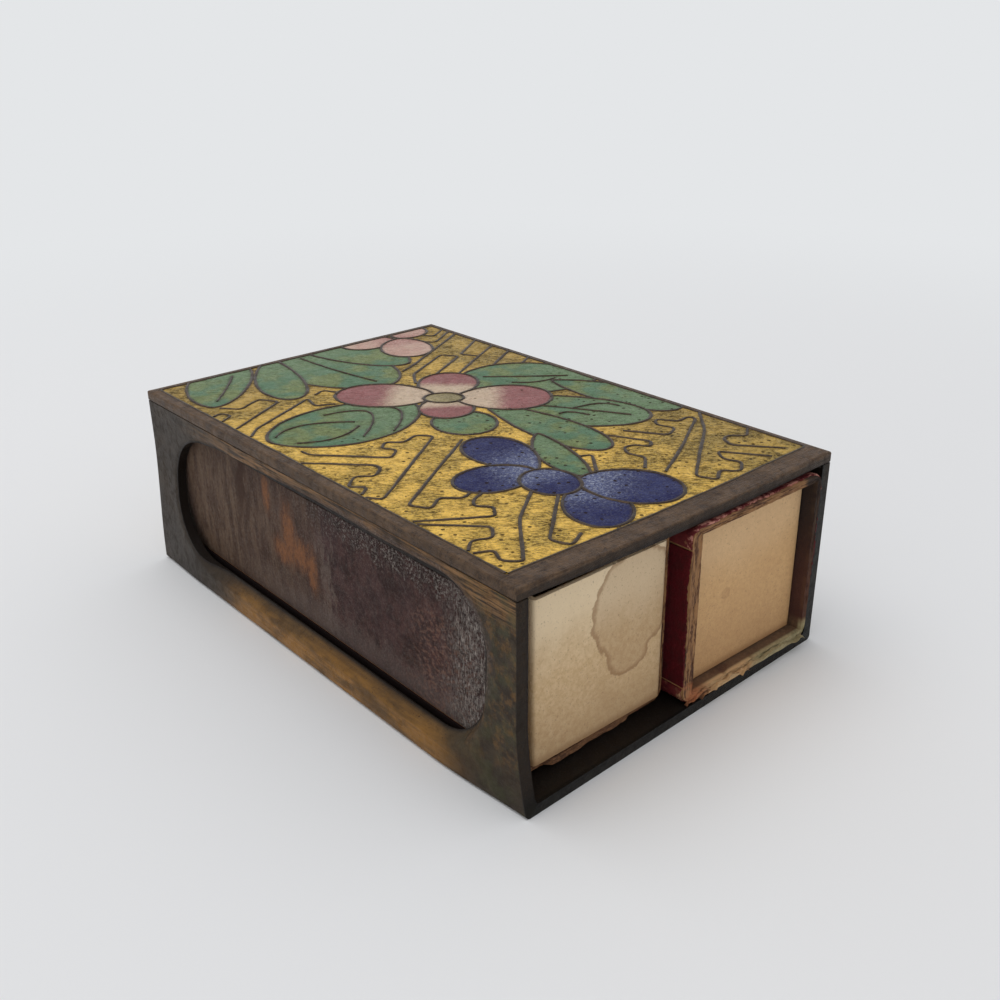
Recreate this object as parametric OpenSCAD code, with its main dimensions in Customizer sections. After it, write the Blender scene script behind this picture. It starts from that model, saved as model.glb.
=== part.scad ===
/* [Case] */
// Outer width of the brass case
case_w = 38; // [34:0.5:46]
// Length of the case, from the front mouth to the back mouth
case_l = 58.4; // [50:0.2:72]
// Outer height of the case, enamel plate included
case_h = 19.6; // [17:0.1:24]
// Thickness of the folded brass sheet at the side walls
wall_t = 1.1; // [0.7:0.05:1.4]
// Thickness of the folded brass sheet at the floor
floor_t = 1.0; // [0.6:0.05:1.4]
// Outside radius of the scored fold between the floor and each wall
fold_r = 0.5; // [0.3:0.05:1.2]
// How far the front left corner of the floor juts forward of the enamel plate
flare = 1.1; // [0.4:0.05:1.6]
// Height at which the left wall's front edge is upright again
flare_h = 7; // [4:0.5:10]
// Leg of the solder fillet along each wall, under the plate
solder = 0.4; // [0.2:0.05:0.5]

/* [Windows] */
// Brass left in front of each window
window_front = 4.7; // [3:0.1:8]
// Brass left behind each window
window_back = 4.4; // [3:0.1:8]
// Height of the window's sill
window_sill = 3.1; // [2.4:0.1:5]
// Brass above the window, up to the top of the case
window_head = 3.2; // [2.4:0.1:5]
// Corner radius at the window's front end
window_front_r = 4.8; // [2:0.1:5.4]
// Corner radius at the window's back end
window_back_r = 6.2; // [3:0.1:6.3]

/* [Enamel plate] */
// Thickness of the copper plate that carries the enamel, rim included
plate_t = 1.1; // [0.9:0.05:1.6]
// Depth of the enamel, which is also the height of the cloison wires
enamel_t = 0.55; // [0.3:0.05:0.7]
// Width of the plate's rim at the front mouth
rim_front = 2.2; // [1:0.1:4]
// Width of the plate's rim at the back mouth
rim_back = 0.7; // [0.4:0.1:4]
// Width of the plate's rim along its left side
rim_left = 1.0; // [0.4:0.1:2]
// Width of the plate's rim along its right side
rim_right = 0.6; // [0.4:0.1:2]
// Width of a cloison wire
wire_w = 0.36; // [0.2:0.02:0.5]
// Width of a leaf vein's wire
vein_w = 0.26; // [0.16:0.02:0.4]

/* [Matchboxes] */
// Outer width of the right-hand matchbox; the left-hand one fills what is left
right_box_w = 18; // [16:0.1:19]
// Running gap beside each matchbox
side_gap = 0.2; // [0.1:0.05:0.4]
// Running gap under each matchbox
under_gap = 0.15; // [0.1:0.05:0.3]
// Room between a matchbox and the enamel plate above it
head_room = 0.45; // [0.42:0.01:0.8]
// How much shorter than the case a matchbox cover is
box_short = 2.9; // [1:0.1:8]
// Corner radius of a matchbox cover
box_r = 1.2; // [0.8:0.05:1.6]
// Thickness of the cover's board
board_t = 0.6; // [0.4:0.05:0.8]
// Thickness of the paper pasted round the cover
paper_t = 0.15; // [0.1:0.01:0.25]
// Paper left between a cover's corner and its striking strip
paper_turn = 0.5; // [0.4:0.1:3]
// Depth of the left-hand cover's front end behind the mouth
left_box_in = 1.8; // [0.5:0.1:2.5]
// How far the right-hand cover's front end stands out of the mouth
right_box_out = 0.3; // [0:0.05:0.6]

/* [Trays] */
// Running gap between a tray and its cover, all round
tray_gap = 0.15; // [0.1:0.01:0.3]
// Thickness of the tray's board
tray_t = 0.5; // [0.35:0.05:0.8]
// How much shorter than its cover a tray is
tray_short = 1.3; // [0.5:0.1:4]
// How far the left-hand tray's front end stands out of its cover
left_tray_out = 0.5; // [0:0.05:1]
// Depth of the right-hand tray's front end inside its cover
right_tray_in = 1.3; // [0.2:0.05:2]

/* [Matches] */
// Thickness of a square matchstick
stick_t = 1.7; // [1.4:0.05:1.75]
// Radius of a match head
head_r = 1.3; // [1.25:0.01:1.33]
// Room in the tray's length that the matches leave free
match_room = 3.5; // [1.5:0.5:12]
// Length of stick that a head covers
head_l = 2.4; // [1.6:0.1:4]
// Least spacing between neighbouring matches; rows spread out to fill the tray
match_pitch = 2.75; // [2.7:0.05:3.2]
// Layers of matches in a tray
match_layers = 3; // [1:1:4]

/* [Hidden] */
$fn = 48;

// The colours that the photograph shows
brass = [0.36, 0.30, 0.22];
dark_wire = [0.22, 0.18, 0.13];
yellow = [0.80, 0.62, 0.24];
green = [0.28, 0.46, 0.36];
blue = [0.20, 0.22, 0.45];
rose = [0.62, 0.34, 0.38];
blush = [0.76, 0.64, 0.60];
olive = [0.50, 0.48, 0.32];
board = [0.62, 0.45, 0.28];
maroon = [0.28, 0.05, 0.09];
striker = [0.28, 0.20, 0.20];
cream = [0.80, 0.70, 0.56];
aspen = [0.86, 0.74, 0.52];
head_brown = [0.34, 0.12, 0.08];

// The case is drawn from its front left corner and set down with its box centred on the origin
case_x = -case_w / 2;
case_y = (flare - case_l) / 2;
inner_w = case_w - 2 * wall_t;
wall_top = case_h - plate_t;
// The sheet is scored before it is folded, so the inside of the fold is almost sharp
fold_in_r = 0.15;
fold_w = max(fold_r, wall_t + fold_in_r);
eps = 0.01;
far = 4 * case_l;

// The floor of the enamel's recess, in the plate
recess_w = case_w - rim_left - rim_right;
recess_l = case_l - rim_front - rim_back;
recess_z = case_h - enamel_t;

// The window in each wall
window_l = case_l - window_front - window_back;
window_h = case_h - window_sill - window_head;

// The two matchboxes, side by side across the case
box_z = floor_t + under_gap;
box_h = wall_top - head_room - box_z;
box_l = case_l - box_short;
left_box_w = inner_w - right_box_w - 3 * side_gap;
left_box_x = wall_t + side_gap;
right_box_x = left_box_x + left_box_w + side_gap;
lap_t = 2 * board_t;

// The trays and what they hold
tray_l = box_l - tray_short;
tray_h = box_h - 2 * paper_t - 2 * board_t - 2 * tray_gap;
match_l = tray_l - 2 * tray_t - match_room;
match_lift = 0.08;

module in_case() {
    translate([case_x, case_y, 0]) children();
}

// A profile drawn in X and Z, run along Y from y0 for a length
module along_y(y0, length) {
    translate([0, y0 + length, 0]) rotate([90, 0, 0]) linear_extrude(length) children();
}

// An outline drawn in Y and Z, run along X from x0 for a length
module along_x(x0, length) {
    translate([x0, 0, 0]) rotate([90, 0, 90]) linear_extrude(length) children();
}

module round_rect(w, h, r) {
    translate([r, 0]) square([w - 2 * r, h]);
    translate([0, r]) square([w, h - 2 * r]);
    for (x = [r, w - r], y = [r, h - r]) translate([x, y]) circle(r);
}

// A U with rounded lower corners and an open top
module round_trough(w, h, r) {
    translate([r, 0]) square([w - 2 * r, h]);
    translate([0, r]) square([w, h - r]);
    for (x = [r, w - r]) translate([x, r]) circle(r);
}

module window_outline() {
    f = window_front_r;
    b = window_back_r;
    translate([f, 0]) square([window_l - f - b, window_h]);
    translate([0, f]) square([f + eps, window_h - 2 * f]);
    translate([window_l - b - eps, b]) square([b + eps, window_h - 2 * b]);
    for (z = [f, window_h - f]) translate([f, z]) circle(f);
    for (z = [b, window_h - b]) translate([window_l - b, z]) circle(b);
}

// What the front edge keeps: upright on the left wall above flare_h, jutting out below it
module front_trim() {
    along_x(-1, fold_w + 1)
        polygon([[0, far], [0, flare_h], [-flare, 0], [-flare, -1], [far, -1], [far, far]]);
    front_at_fold = -flare * (1 - fold_w / case_w);
    translate([0, 0, -1]) linear_extrude(far)
        polygon([[fold_w, front_at_fold], [case_w, 0], [case_w + 1, 0], [case_w + 1, far], [fold_w, far]]);
}

module case_shell() {
    color(brass) in_case() difference() {
        intersection() {
            along_y(-flare, case_l + flare) difference() {
                round_trough(case_w, wall_top, fold_r);
                translate([wall_t, floor_t]) round_trough(inner_w, case_h, fold_in_r);
            }
            front_trim();
        }
        for (x = [-1, case_w - wall_t - 1])
            translate([0, window_front, window_sill]) along_x(x, wall_t + 2) window_outline();
    }
}

module solder_seams() {
    color(brass) in_case() along_y(0, case_l) {
        polygon([[wall_t, wall_top], [wall_t + solder, wall_top], [wall_t, wall_top - solder]]);
        polygon([[case_w - wall_t, wall_top], [case_w - wall_t - solder, wall_top],
                 [case_w - wall_t, wall_top - solder]]);
    }
}

module enamel_plate() {
    color(brass) in_case() difference() {
        translate([0, 0, wall_top]) cube([case_w, case_l, plate_t]);
        translate([rim_left, rim_front, recess_z]) cube([recess_w, recess_l, plate_t]);
    }
}

// The drawing on the plate is laid out on a sheet of this size, measured from the recess's front left
// corner, and is stretched to the recess
art_w = 36.4;
art_l = 55.5;
function on_plate(p) = [p[0] * recess_w / art_w, p[1] * recess_l / art_l];

// A petal or leaf from p to q: its half width w rises as s^a and falls as (1 - s)^b along it, and the
// middle line bows sideways by bend. The inset draws it smaller by the wire's width, on the same line
lobe_steps = 13;
function lobe_width(s, a, b) = pow(s, a) * pow(1 - s, b) / (pow(a / (a + b), a) * pow(b / (a + b), b));
function lobe_point(p, q, s, side) =
    let (d = q - p, n = [-d[1], d[0]] / norm(d)) p + d * s + n * side;
function lobe(p, q, w, a, b, bend, inset) =
    let (from = inset * 2 * a / norm(q - p), to = 1 - inset * 2 * b / norm(q - p),
         steps = [for (i = [1:lobe_steps]) (1 - cos(180 * i / (lobe_steps + 1))) / 2],
         side = function (t, k) let (s = from + (to - from) * t)
             lobe_point(p, q, s, 4 * bend * s * (1 - s) + k * (w - inset) * lobe_width(t, a, b)),
         raw = concat([side(0, 0)], [for (t = steps) side(t, 1)], [side(1, 0)],
                      [for (i = [lobe_steps - 1:-1:0]) side(steps[i], -1)]))
    [for (v = raw) on_plate(v)];

// A bent line through three points
curve_steps = 8;
function curve(p, m, q) =
    [for (i = [0:curve_steps]) let (t = i / curve_steps)
        (1 - t) * (1 - 2 * t) * p + 4 * t * (1 - t) * m + t * (2 * t - 1) * q];

// The corner of a strip's edge, a distance d to the left of the line a, b, c
function unit(v) = v / max(norm(v), 1e-6);
function left_of(v) = [-v[1], v[0]];
function corner(a, b, c, d) =
    let (n1 = left_of(unit(b - a)), n2 = left_of(unit(c - b)), m = unit(n1 + n2)) b + m * d / max(m * n1, 0.35);

// A flat strip of width w along a line of points, as one outline
function strip(line, w) =
    let (n = len(line) - 1,
         edge = function (d) [for (i = [0:n])
             i == 0 ? line[0] + left_of(unit(line[1] - line[0])) * d
             : i == n ? line[n] + left_of(unit(line[n] - line[n - 1])) * d
             : corner(line[i - 1], line[i], line[i + 1], d)],
         one = edge(w / 2), two = edge(-w / 2))
    concat(one, [for (i = [n:-1:0]) two[i]]);

// Cells of the drawing, lowest first: what lies later in the list lies over what is before it
GREEN = 0;
ROSE = 1;
BLUSH = 2;
BLUE = 3;
BUD = 4;
cells = [
    [GREEN, [19.3, 40.3], [15.8, 59.0], 5.8, 0.55, 0.5, 0],
    [GREEN, [25.0, 45.0], [19.5, 58.5], 3.3, 0.55, 0.6, -0.6],
    [GREEN, [9.0, 43.2], [14.6, 57.6], 2.5, 0.5, 0.9, 0.5],
    [GREEN, [1.6, 46.6], [10.2, 58.0], 3.3, 0.6, 0.5, 0.6],
    [GREEN, [25.2, 36.4], [36.9, 27.2], 5.2, 0.5, 0.6, 0.4],
    [GREEN, [32.6, 29.6], [35.9, 14.5], 2.9, 0.8, 0.5, 0.3],
    [GREEN, [23.2, 29.0], [32.0, 14.9], 4.0, 0.6, 0.5, -0.2],
    [GREEN, [23.0, 12.0], [22.6, 30.0], 2.65, 0.5, 1.0, 0],
    [GREEN, [17.1, 8.7], [20.8, 19.2], 1.7, 0.7, 0.8, 0.55],
    [GREEN, [17.4, 22.7], [17.7, 29.4], 3.1, 0.5, 0.5, 0],
    [GREEN, [0.9, 34.4], [17.2, 33.3], 5.3, 0.6, 0.62, -0.35],
    [ROSE, [26.4, 38.9], [20.9, 33.6], 3.2, 0.5, 0.6, 0],
    [ROSE, [13.0, 41.6], [20.2, 34.0], 3.6, 0.5, 0.6, 0],
    [ROSE, [17.2, 28.0], [20.7, 33.2], 2.8, 0.5, 0.6, 0],
    [ROSE, [29.0, 25.8], [21.4, 32.4], 3.75, 0.5, 0.65, 0],
    [BUD, [19.0, 34.4], [22.2, 31.8], 1.5, 0.5, 0.5, 0],
    [BLUSH, [23.0, 55.4], [29.5, 53.9], 2.5, 0.5, 0.6, 0],
    [BLUSH, [34.6, 56.4], [30.1, 53.8], 2.3, 0.5, 0.6, 0],
    [BLUSH, [27.0, 46.6], [30.0, 53.6], 3.0, 0.5, 0.6, 0],
    [BLUE, [15.4, 22.2], [14.7, 12.7], 2.95, 0.5, 0.75, 0],
    [BLUE, [7.1, 14.6], [14.7, 13.1], 2.75, 0.5, 0.6, 0],
    [BLUE, [11.3, 0.8], [15.9, 7.8], 2.85, 0.5, 0.6, 0],
    [BLUE, [20.9, 1.2], [16.1, 9.0], 3.4, 0.5, 0.6, 0],
    [BLUE, [13.6, 7.3], [14.3, 13.0], 2.55, 0.5, 0.5, 0]
];
function cell_outline(i, inset) =
    let (c = cells[i]) lobe(c[1], c[2], c[3], c[4], c[5], c[6], inset);
outer = [for (i = [0:len(cells) - 1]) cell_outline(i, 0)];
inner = [for (i = [0:len(cells) - 1]) cell_outline(i, wire_w)];

// Veins of the leaves: the leaf's place in the list of cells, then the line
leaf_veins = [
    [10, curve([1.9, 34.9], [5.4, 36.0], [9.8, 33.4])],
    [10, curve([2.6, 32.3], [6.0, 31.0], [9.4, 32.2])],
    [10, curve([8.6, 37.0], [12.4, 34.6], [8.2, 29.6])],
    [10, curve([12.8, 36.4], [15.0, 33.2], [11.2, 28.9])],
    [6, curve([25.0, 26.6], [28.2, 21.6], [31.0, 16.6])],
    [6, curve([26.0, 21.6], [27.2, 21.2], [28.0, 19.4])],
    [6, curve([28.2, 21.8], [31.0, 21.0], [32.0, 19.2])],
    [4, curve([28.0, 35.6], [31.6, 32.4], [35.0, 29.6])],
    [4, curve([29.0, 32.0], [31.0, 30.4], [33.4, 30.0])],
    [0, curve([18.6, 42.2], [17.6, 48.0], [17.0, 54.8])],
    [3, curve([2.8, 48.0], [5.6, 51.2], [8.0, 54.4])]
];

// Lines of the key fret, as far as they would run if nothing lay over them
fret_lines = [
    [[0.2, 28.0], [4.9, 23.0], [4.8, 22.1], [3.4, 21.0], [2.1, 22.2], [0.4, 20.7], [1.6, 19.5], [0.2, 18.5]],
    [[1.8, 30.4], [1.9, 29.0], [7.0, 23.5], [8.5, 24.8], [7.6, 25.9], [8.7, 27.0], [10.1, 25.8], [11.9, 26.5],
     [13.1, 25.2], [1.1, 16.6], [0.2, 18.0]],
    [[14.6, 22.8], [1.9, 14.3], [2.9, 12.5], [4.7, 13.8], [6.2, 12.4], [8.0, 13.2]],
    [[8.6, 12.4], [6.7, 11.7], [5.8, 10.6], [7.0, 9.5], [5.9, 8.0], [0.2, 11.6]],
    [[0.2, 11.0], [4.4, 6.7], [3.2, 5.2], [1.6, 5.9], [0.2, 4.6]],
    [[0.2, 4.2], [1.9, 3.5], [1.1, 1.9], [2.3, 0.7], [7.1, 6.5], [12.2, 10.4]],
    [[12.6, 7.8], [6.2, 2.1], [7.0, 0.4], [9.0, 1.5]],
    [[19.6, 12.6], [20.9, 12.0], [18.4, 9.0]],
    [[22.0, 6.7], [24.0, 8.4], [23.4, 10.1], [24.3, 11.3], [25.4, 11.0], [26.2, 9.7], [27.2, 10.6], [25.3, 14.4]],
    [[27.2, 14.3], [29.6, 10.5], [31.4, 11.3], [30.7, 13.1], [31.7, 14.1], [33.0, 12.2], [34.6, 12.4],
     [34.8, 11.6], [28.6, 8.0], [22.8, 5.0]],
    [[36.3, 12.4], [32.8, 8.9], [28.4, 5.8], [24.1, 2.7], [24.9, 0.9], [26.5, 2.1], [27.8, 0.7], [29.4, 1.9],
     [28.7, 3.4], [29.7, 4.9], [32.4, 0.7]],
    [[34.8, 1.0], [31.8, 5.0], [32.4, 6.4], [33.4, 6.7], [34.6, 5.3], [36.3, 6.6]],
    [[0.2, 36.6], [1.8, 38.2], [10.1, 42.4], [9.4, 40.0], [11.4, 39.0]],
    [[0.2, 39.4], [7.4, 43.6], [6.2, 45.6], [3.4, 44.2], [1.9, 46.0]],
    [[0.2, 42.2], [1.8, 43.2], [1.2, 44.5], [0.2, 44.0]],
    [[11.2, 42.8], [12.6, 43.6], [13.6, 41.8]],
    [[21.2, 38.6], [23.0, 41.4], [29.6, 45.0], [30.8, 43.2], [24.6, 39.6], [26.0, 37.8], [36.3, 43.8]],
    [[22.6, 43.0], [24.6, 43.8], [36.3, 50.6]],
    [[29.6, 36.8], [36.3, 40.8]],
    [[33.4, 33.6], [32.8, 35.4], [36.3, 37.4]],
    [[32.6, 41.4], [31.4, 43.6], [36.3, 46.8]],
    [[31.2, 50.8], [32.3, 49.4], [36.3, 51.9]],
    [[33.0, 52.8], [33.8, 51.6], [36.3, 53.2]]
];
fret_strips = [for (line = fret_lines) strip([for (p = line) on_plate(p)], wire_w)];

// Corners of the box round an outline, and whether two such boxes meet
function low(shape, k) = min([for (p = shape) p[k]]);
function high(shape, k) = max([for (p = shape) p[k]]);
function meets(a, b) = min([for (k = [0, 1]) min(high(a, k) - low(b, k), high(b, k) - low(a, k))]) > 0;

module on_recess() {
    in_case() translate([rim_left, rim_front, recess_z]) linear_extrude(enamel_t) intersection() {
        square([recess_w, recess_l]);
        children();
    }
}

// The cells that lie over cell i
module cells_over(i) {
    if (i < len(cells) - 1)
        for (j = [i + 1:len(cells) - 1])
            if (meets(outer[i], outer[j])) polygon(outer[j]);
}

function veins(i) = [for (v = leaf_veins) if (v[0] == i) strip([for (p = v[1]) on_plate(p)], vein_w)];

module veins_of(i) {
    for (v = veins(i)) polygon(v);
}

module cell_wire(i) {
    difference() {
        polygon(outer[i]);
        polygon(inner[i]);
        cells_over(i);
    }
}

module cell_veins(i) {
    difference() {
        intersection() {
            veins_of(i);
            polygon(inner[i]);
        }
        cells_over(i);
    }
}

module cell_glass(i) {
    difference() {
        polygon(inner[i]);
        cells_over(i);
        veins_of(i);
    }
}

module glass(kind) {
    for (i = [0:len(cells) - 1])
        if (cells[i][0] == kind) on_recess() cell_glass(i);
}

module fret_wires() {
    color(dark_wire) on_recess() difference() {
        for (s = fret_strips) polygon(s);
        for (shape = outer) polygon(shape);
    }
}

module petal_wires() {
    color(dark_wire)
        for (i = [0:len(cells) - 1])
            if (cells[i][0] != GREEN) on_recess() cell_wire(i);
}

module leaf_wires() {
    color(dark_wire)
        for (i = [0:len(cells) - 1])
            if (cells[i][0] == GREEN) on_recess() {
                cell_wire(i);
                if (len(veins(i)) > 0) cell_veins(i);
            }
}

module yellow_enamel() {
    color(yellow) on_recess() difference() {
        square([recess_w, recess_l]);
        for (s = fret_strips) polygon(s);
        for (shape = outer) polygon(shape);
    }
}

module green_enamel() {
    color(green) glass(GREEN);
}

module blue_enamel() {
    color(blue) glass(BLUE);
}

module rose_enamel() {
    color(rose) glass(ROSE);
}

module blush_enamel() {
    color(blush) glass(BLUSH);
}

module bud_enamel() {
    color(olive) glass(BUD);
}

// Left and right matchbox: place, width and front end of the cover, and front end of the tray
LEFT = [left_box_x, left_box_w, left_box_in, left_box_in - left_tray_out];
RIGHT = [right_box_x, right_box_w, -right_box_out, right_tray_in - right_box_out];

module cover_outline(box, skin) {
    translate([box[0] + skin, box_z + skin]) round_rect(box[1] - 2 * skin, box_h - 2 * skin, box_r - skin);
}

// A bare board sleeve, its glued lap making the left side twice as thick
module cover_board(box) {
    hollow_w = box[1] - 2 * paper_t - board_t - lap_t;
    hollow_h = box_h - 2 * paper_t - 2 * board_t;
    color(board) in_case() along_y(box[2], box_l) difference() {
        cover_outline(box, paper_t);
        translate([box[0] + paper_t + lap_t, box_z + paper_t + board_t]) square([hollow_w, hollow_h]);
    }
}

strip_z = box_r + paper_turn;
strip_h = box_h - 2 * strip_z;

module strip_slots(box) {
    for (x = [box[0], box[0] + box[1] - paper_t])
        translate([x, box_z + strip_z]) square([paper_t, strip_h]);
}

module cover_paper(box) {
    color(maroon) in_case() along_y(box[2], box_l) difference() {
        cover_outline(box, 0);
        cover_outline(box, paper_t);
        strip_slots(box);
    }
}

module striking_strips(box) {
    color(striker) in_case() along_y(box[2], box_l) strip_slots(box);
}

function tray_x(box) = box[0] + paper_t + lap_t + tray_gap;
function tray_w(box) = box[1] - 2 * paper_t - board_t - lap_t - 2 * tray_gap;
tray_z = box_z + paper_t + board_t + tray_gap;

module tray_frame(box) {
    color(cream) in_case() translate([tray_x(box), box[3], tray_z]) difference() {
        cube([tray_w(box), tray_l, tray_h]);
        translate([tray_t, tray_t, -1]) cube([tray_w(box) - 2 * tray_t, tray_l - 2 * tray_t, tray_h + 2]);
    }
}

module tray_floor(box) {
    color(cream) in_case() translate([tray_x(box) + tray_t, box[3] + tray_t, tray_z])
        cube([tray_w(box) - 2 * tray_t, tray_l - 2 * tray_t, tray_t]);
}

// One place in the tray for each match, in rows across and layers up
module each_match(box) {
    room = tray_w(box) - 2 * (tray_t + match_lift + head_r);
    rows = floor(room / match_pitch);
    in_case() for (i = [0:rows], k = [0:match_layers - 1])
        translate([tray_x(box) + tray_t + match_lift + head_r + i * room / rows,
                   box[3] + tray_t + match_room / 2,
                   tray_z + tray_t + match_lift + head_r + k * match_pitch]) children();
}

module stick() {
    translate([-stick_t / 2, head_r, -stick_t / 2]) cube([stick_t, match_l - head_r, stick_t]);
}

module head() {
    difference() {
        translate([0, head_r, 0]) {
            sphere(head_r);
            rotate([-90, 0, 0]) cylinder(r = head_r, h = head_l);
        }
        stick();
    }
}

module matchsticks(box) {
    color(aspen) each_match(box) stick();
}

module match_heads(box) {
    color(head_brown) each_match(box) head();
}

case_shell();
solder_seams();
enamel_plate();
fret_wires();
petal_wires();
leaf_wires();
yellow_enamel();
green_enamel();
blue_enamel();
rose_enamel();
blush_enamel();
bud_enamel();
cover_board(LEFT);  // left_cover_board
cover_paper(LEFT);  // left_cover_paper
striking_strips(LEFT);  // left_striking_strips
tray_frame(LEFT);  // left_tray_frame
tray_floor(LEFT);  // left_tray_floor
matchsticks(LEFT);  // left_matchsticks
match_heads(LEFT);  // left_match_heads
cover_board(RIGHT);  // right_cover_board
cover_paper(RIGHT);  // right_cover_paper
striking_strips(RIGHT);  // right_striking_strips
tray_frame(RIGHT);  // right_tray_frame
tray_floor(RIGHT);  // right_tray_floor
matchsticks(RIGHT);  // right_matchsticks
match_heads(RIGHT);  // right_match_heads
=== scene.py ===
# %% [markdown]
# # A brass matchbox case with a cloisonne top
#
# The real object is a strip of sheet brass folded into an open-ended trough, with a long window in each
# side wall. A copper plate with a shallow recess closes the top. Thin wires stand on edge in the recess
# and draw flowers, leaves and a key fret, and coloured glass fills the cells between them. Two slim
# matchboxes slide in from the front.
#
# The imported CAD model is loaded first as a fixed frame. It says where every piece goes, and its box says
# how large the finished model may be.

# %% Load the frame
import math
import bpy
import numpy as np
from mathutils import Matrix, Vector


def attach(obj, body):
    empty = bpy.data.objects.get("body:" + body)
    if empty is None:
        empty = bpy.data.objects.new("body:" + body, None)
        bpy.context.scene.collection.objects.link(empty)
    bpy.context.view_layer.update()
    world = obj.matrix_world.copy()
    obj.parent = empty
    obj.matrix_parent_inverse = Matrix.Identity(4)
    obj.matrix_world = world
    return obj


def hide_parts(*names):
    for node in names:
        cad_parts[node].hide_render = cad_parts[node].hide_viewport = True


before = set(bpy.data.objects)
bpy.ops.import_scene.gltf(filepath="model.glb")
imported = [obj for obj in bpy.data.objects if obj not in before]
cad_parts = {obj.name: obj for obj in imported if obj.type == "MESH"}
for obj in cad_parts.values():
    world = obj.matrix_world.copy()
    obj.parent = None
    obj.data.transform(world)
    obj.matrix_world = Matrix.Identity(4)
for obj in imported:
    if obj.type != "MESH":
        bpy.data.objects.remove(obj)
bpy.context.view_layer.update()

# %% [markdown]
# ## Measures
#
# Everything below is drawn in millimetres from the case's front left corner: x runs to the right along
# the mouth, y runs back along the case and z runs up. It is easier to read `18.5` as the height of the
# wall than to read its place in metres from the middle of the case. `place` turns such points into the
# frame's metres at the last moment.

# %% Sizes of the case, in millimetres
CASE_W, CASE_L, CASE_H = 38.0, 58.4, 19.6
WALL, FLOOR, PLATE = 1.1, 1.0, 1.1
FOLD, FOLD_IN, FLARE, FLARE_H = 0.4, 0.15, 1.1, 8.0
WALL_TOP = CASE_H - PLATE
WINDOW = dict(front=4.7, back=54.0, sill=3.1, head=16.4, front_r=4.8, back_r=6.2)
RIM = dict(front=2.2, back=0.7, left=1.0, right=0.6)
RECESS_Z = CASE_H - 0.55
CORNER = np.array([-CASE_W / 2, (FLARE - CASE_L) / 2, 0.0])


def place(points):
    """Points in the frame: add the corner of the case, then turn millimetres into metres."""
    return (np.asarray(points, dtype=float) + CORNER) * 0.001


print("corner of the case in the frame, mm:", CORNER)

# %% [markdown]
# ## Sheets, grids and closed solids
#
# Nearly every piece here is thin: brass sheet, board, paper, enamel. Such a piece is easiest to work out
# as a grid of points for its outer face and the same points again for its inner face. A row of quads
# along every open edge then closes it into a real solid, with a thickness that can change from place to
# place. A Solidify modifier could do this too, but the inner face is often not just an offset of the
# outer one: a fold has its own inner radius, and a dent in the outside needn't show inside.

# %% Grid and sheet helpers
def grid_quads(rows, columns, wrap_rows=False, wrap_columns=False):
    """Quads of a grid of rows by columns points; a wrap joins the last row or column to the first."""
    i = np.arange(rows if wrap_rows else rows - 1)[:, None]
    j = np.arange(columns if wrap_columns else columns - 1)[None, :]
    i2, j2 = (i + 1) % rows * columns, (j + 1) % columns
    return np.stack([i * columns + j, i2 + j, i2 + j2, i * columns + j2], axis=-1).reshape(-1, 4)


def grid_points(x, y, z):
    """Points in grid order from three arrays or numbers, each spread over the whole grid."""
    return np.stack(np.broadcast_arrays(x, y, z), -1).reshape(-1, 3)


def facing(points, quads, direction):
    """The quads, turned over if their summed normal points against a direction."""
    p = points[quads]
    normal = np.cross(p[:, 2] - p[:, 0], p[:, 3] - p[:, 1]).sum(axis=0)
    return quads if normal @ np.asarray(direction, dtype=float) > 0 else quads[:, ::-1]


def outward(points, quads):
    """The quads of a closed solid, turned over if the volume they enclose comes out below zero."""
    a, b, c, d = points[quads].transpose(1, 0, 2)
    return quads if (np.cross(c - a, d - b) * (a + b + c + d)).sum() > 0 else quads[:, ::-1]


def close_sheet(outer, inner, quads):
    """Outer face, inner face turned over, and a wall on every edge that only one quad uses."""
    n = len(outer)
    a = quads.ravel()
    b = np.roll(quads, -1, axis=1).ravel()
    open_edge = ~np.isin(a * n + b, b * n + a)
    a, b = a[open_edge], b[open_edge]
    walls = np.stack([b, a, a + n, b + n], axis=1)
    return np.concatenate([outer, inner]), np.concatenate([quads, quads[:, ::-1] + n, walls])


def tube(rings):
    """Rings of points, rings by points by 3, as a solid: quads between neighbours and a cap on each end."""
    n, m = rings.shape[:2]
    i, j = np.arange(n - 1)[:, None] * m, np.arange(m)[None, :]
    k = (j + 1) % m
    quads = np.stack([i + m + j, i + m + k, i + k, i + j], -1).reshape(-1, 4)
    return rings.reshape(-1, 3), quads, [list(range(m)), list(range(n * m))[:-m - 1:-1]]


def join(solids):
    """Several solids as one: each one's quads and caps are numbered on from the points before it."""
    starts = np.cumsum([0] + [len(solid[0]) for solid in solids])
    caps = [[i + start for i in cap] for solid, start in zip(solids, starts) for cap in (*solid[2:], ())[0]]
    return (np.concatenate([solid[0] for solid in solids]),
            np.concatenate([solid[1] + start for solid, start in zip(solids, starts)]), caps)


def weld(outer, inner, quads, step=0.002):
    """Outer points that share a place to within a step become one, and the inner points follow them."""
    keys = np.round(outer / step).astype(np.int64)
    _, first, back = np.unique(keys, axis=0, return_index=True, return_inverse=True)
    return outer[first], inner[first], back.reshape(-1)[quads]


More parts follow.
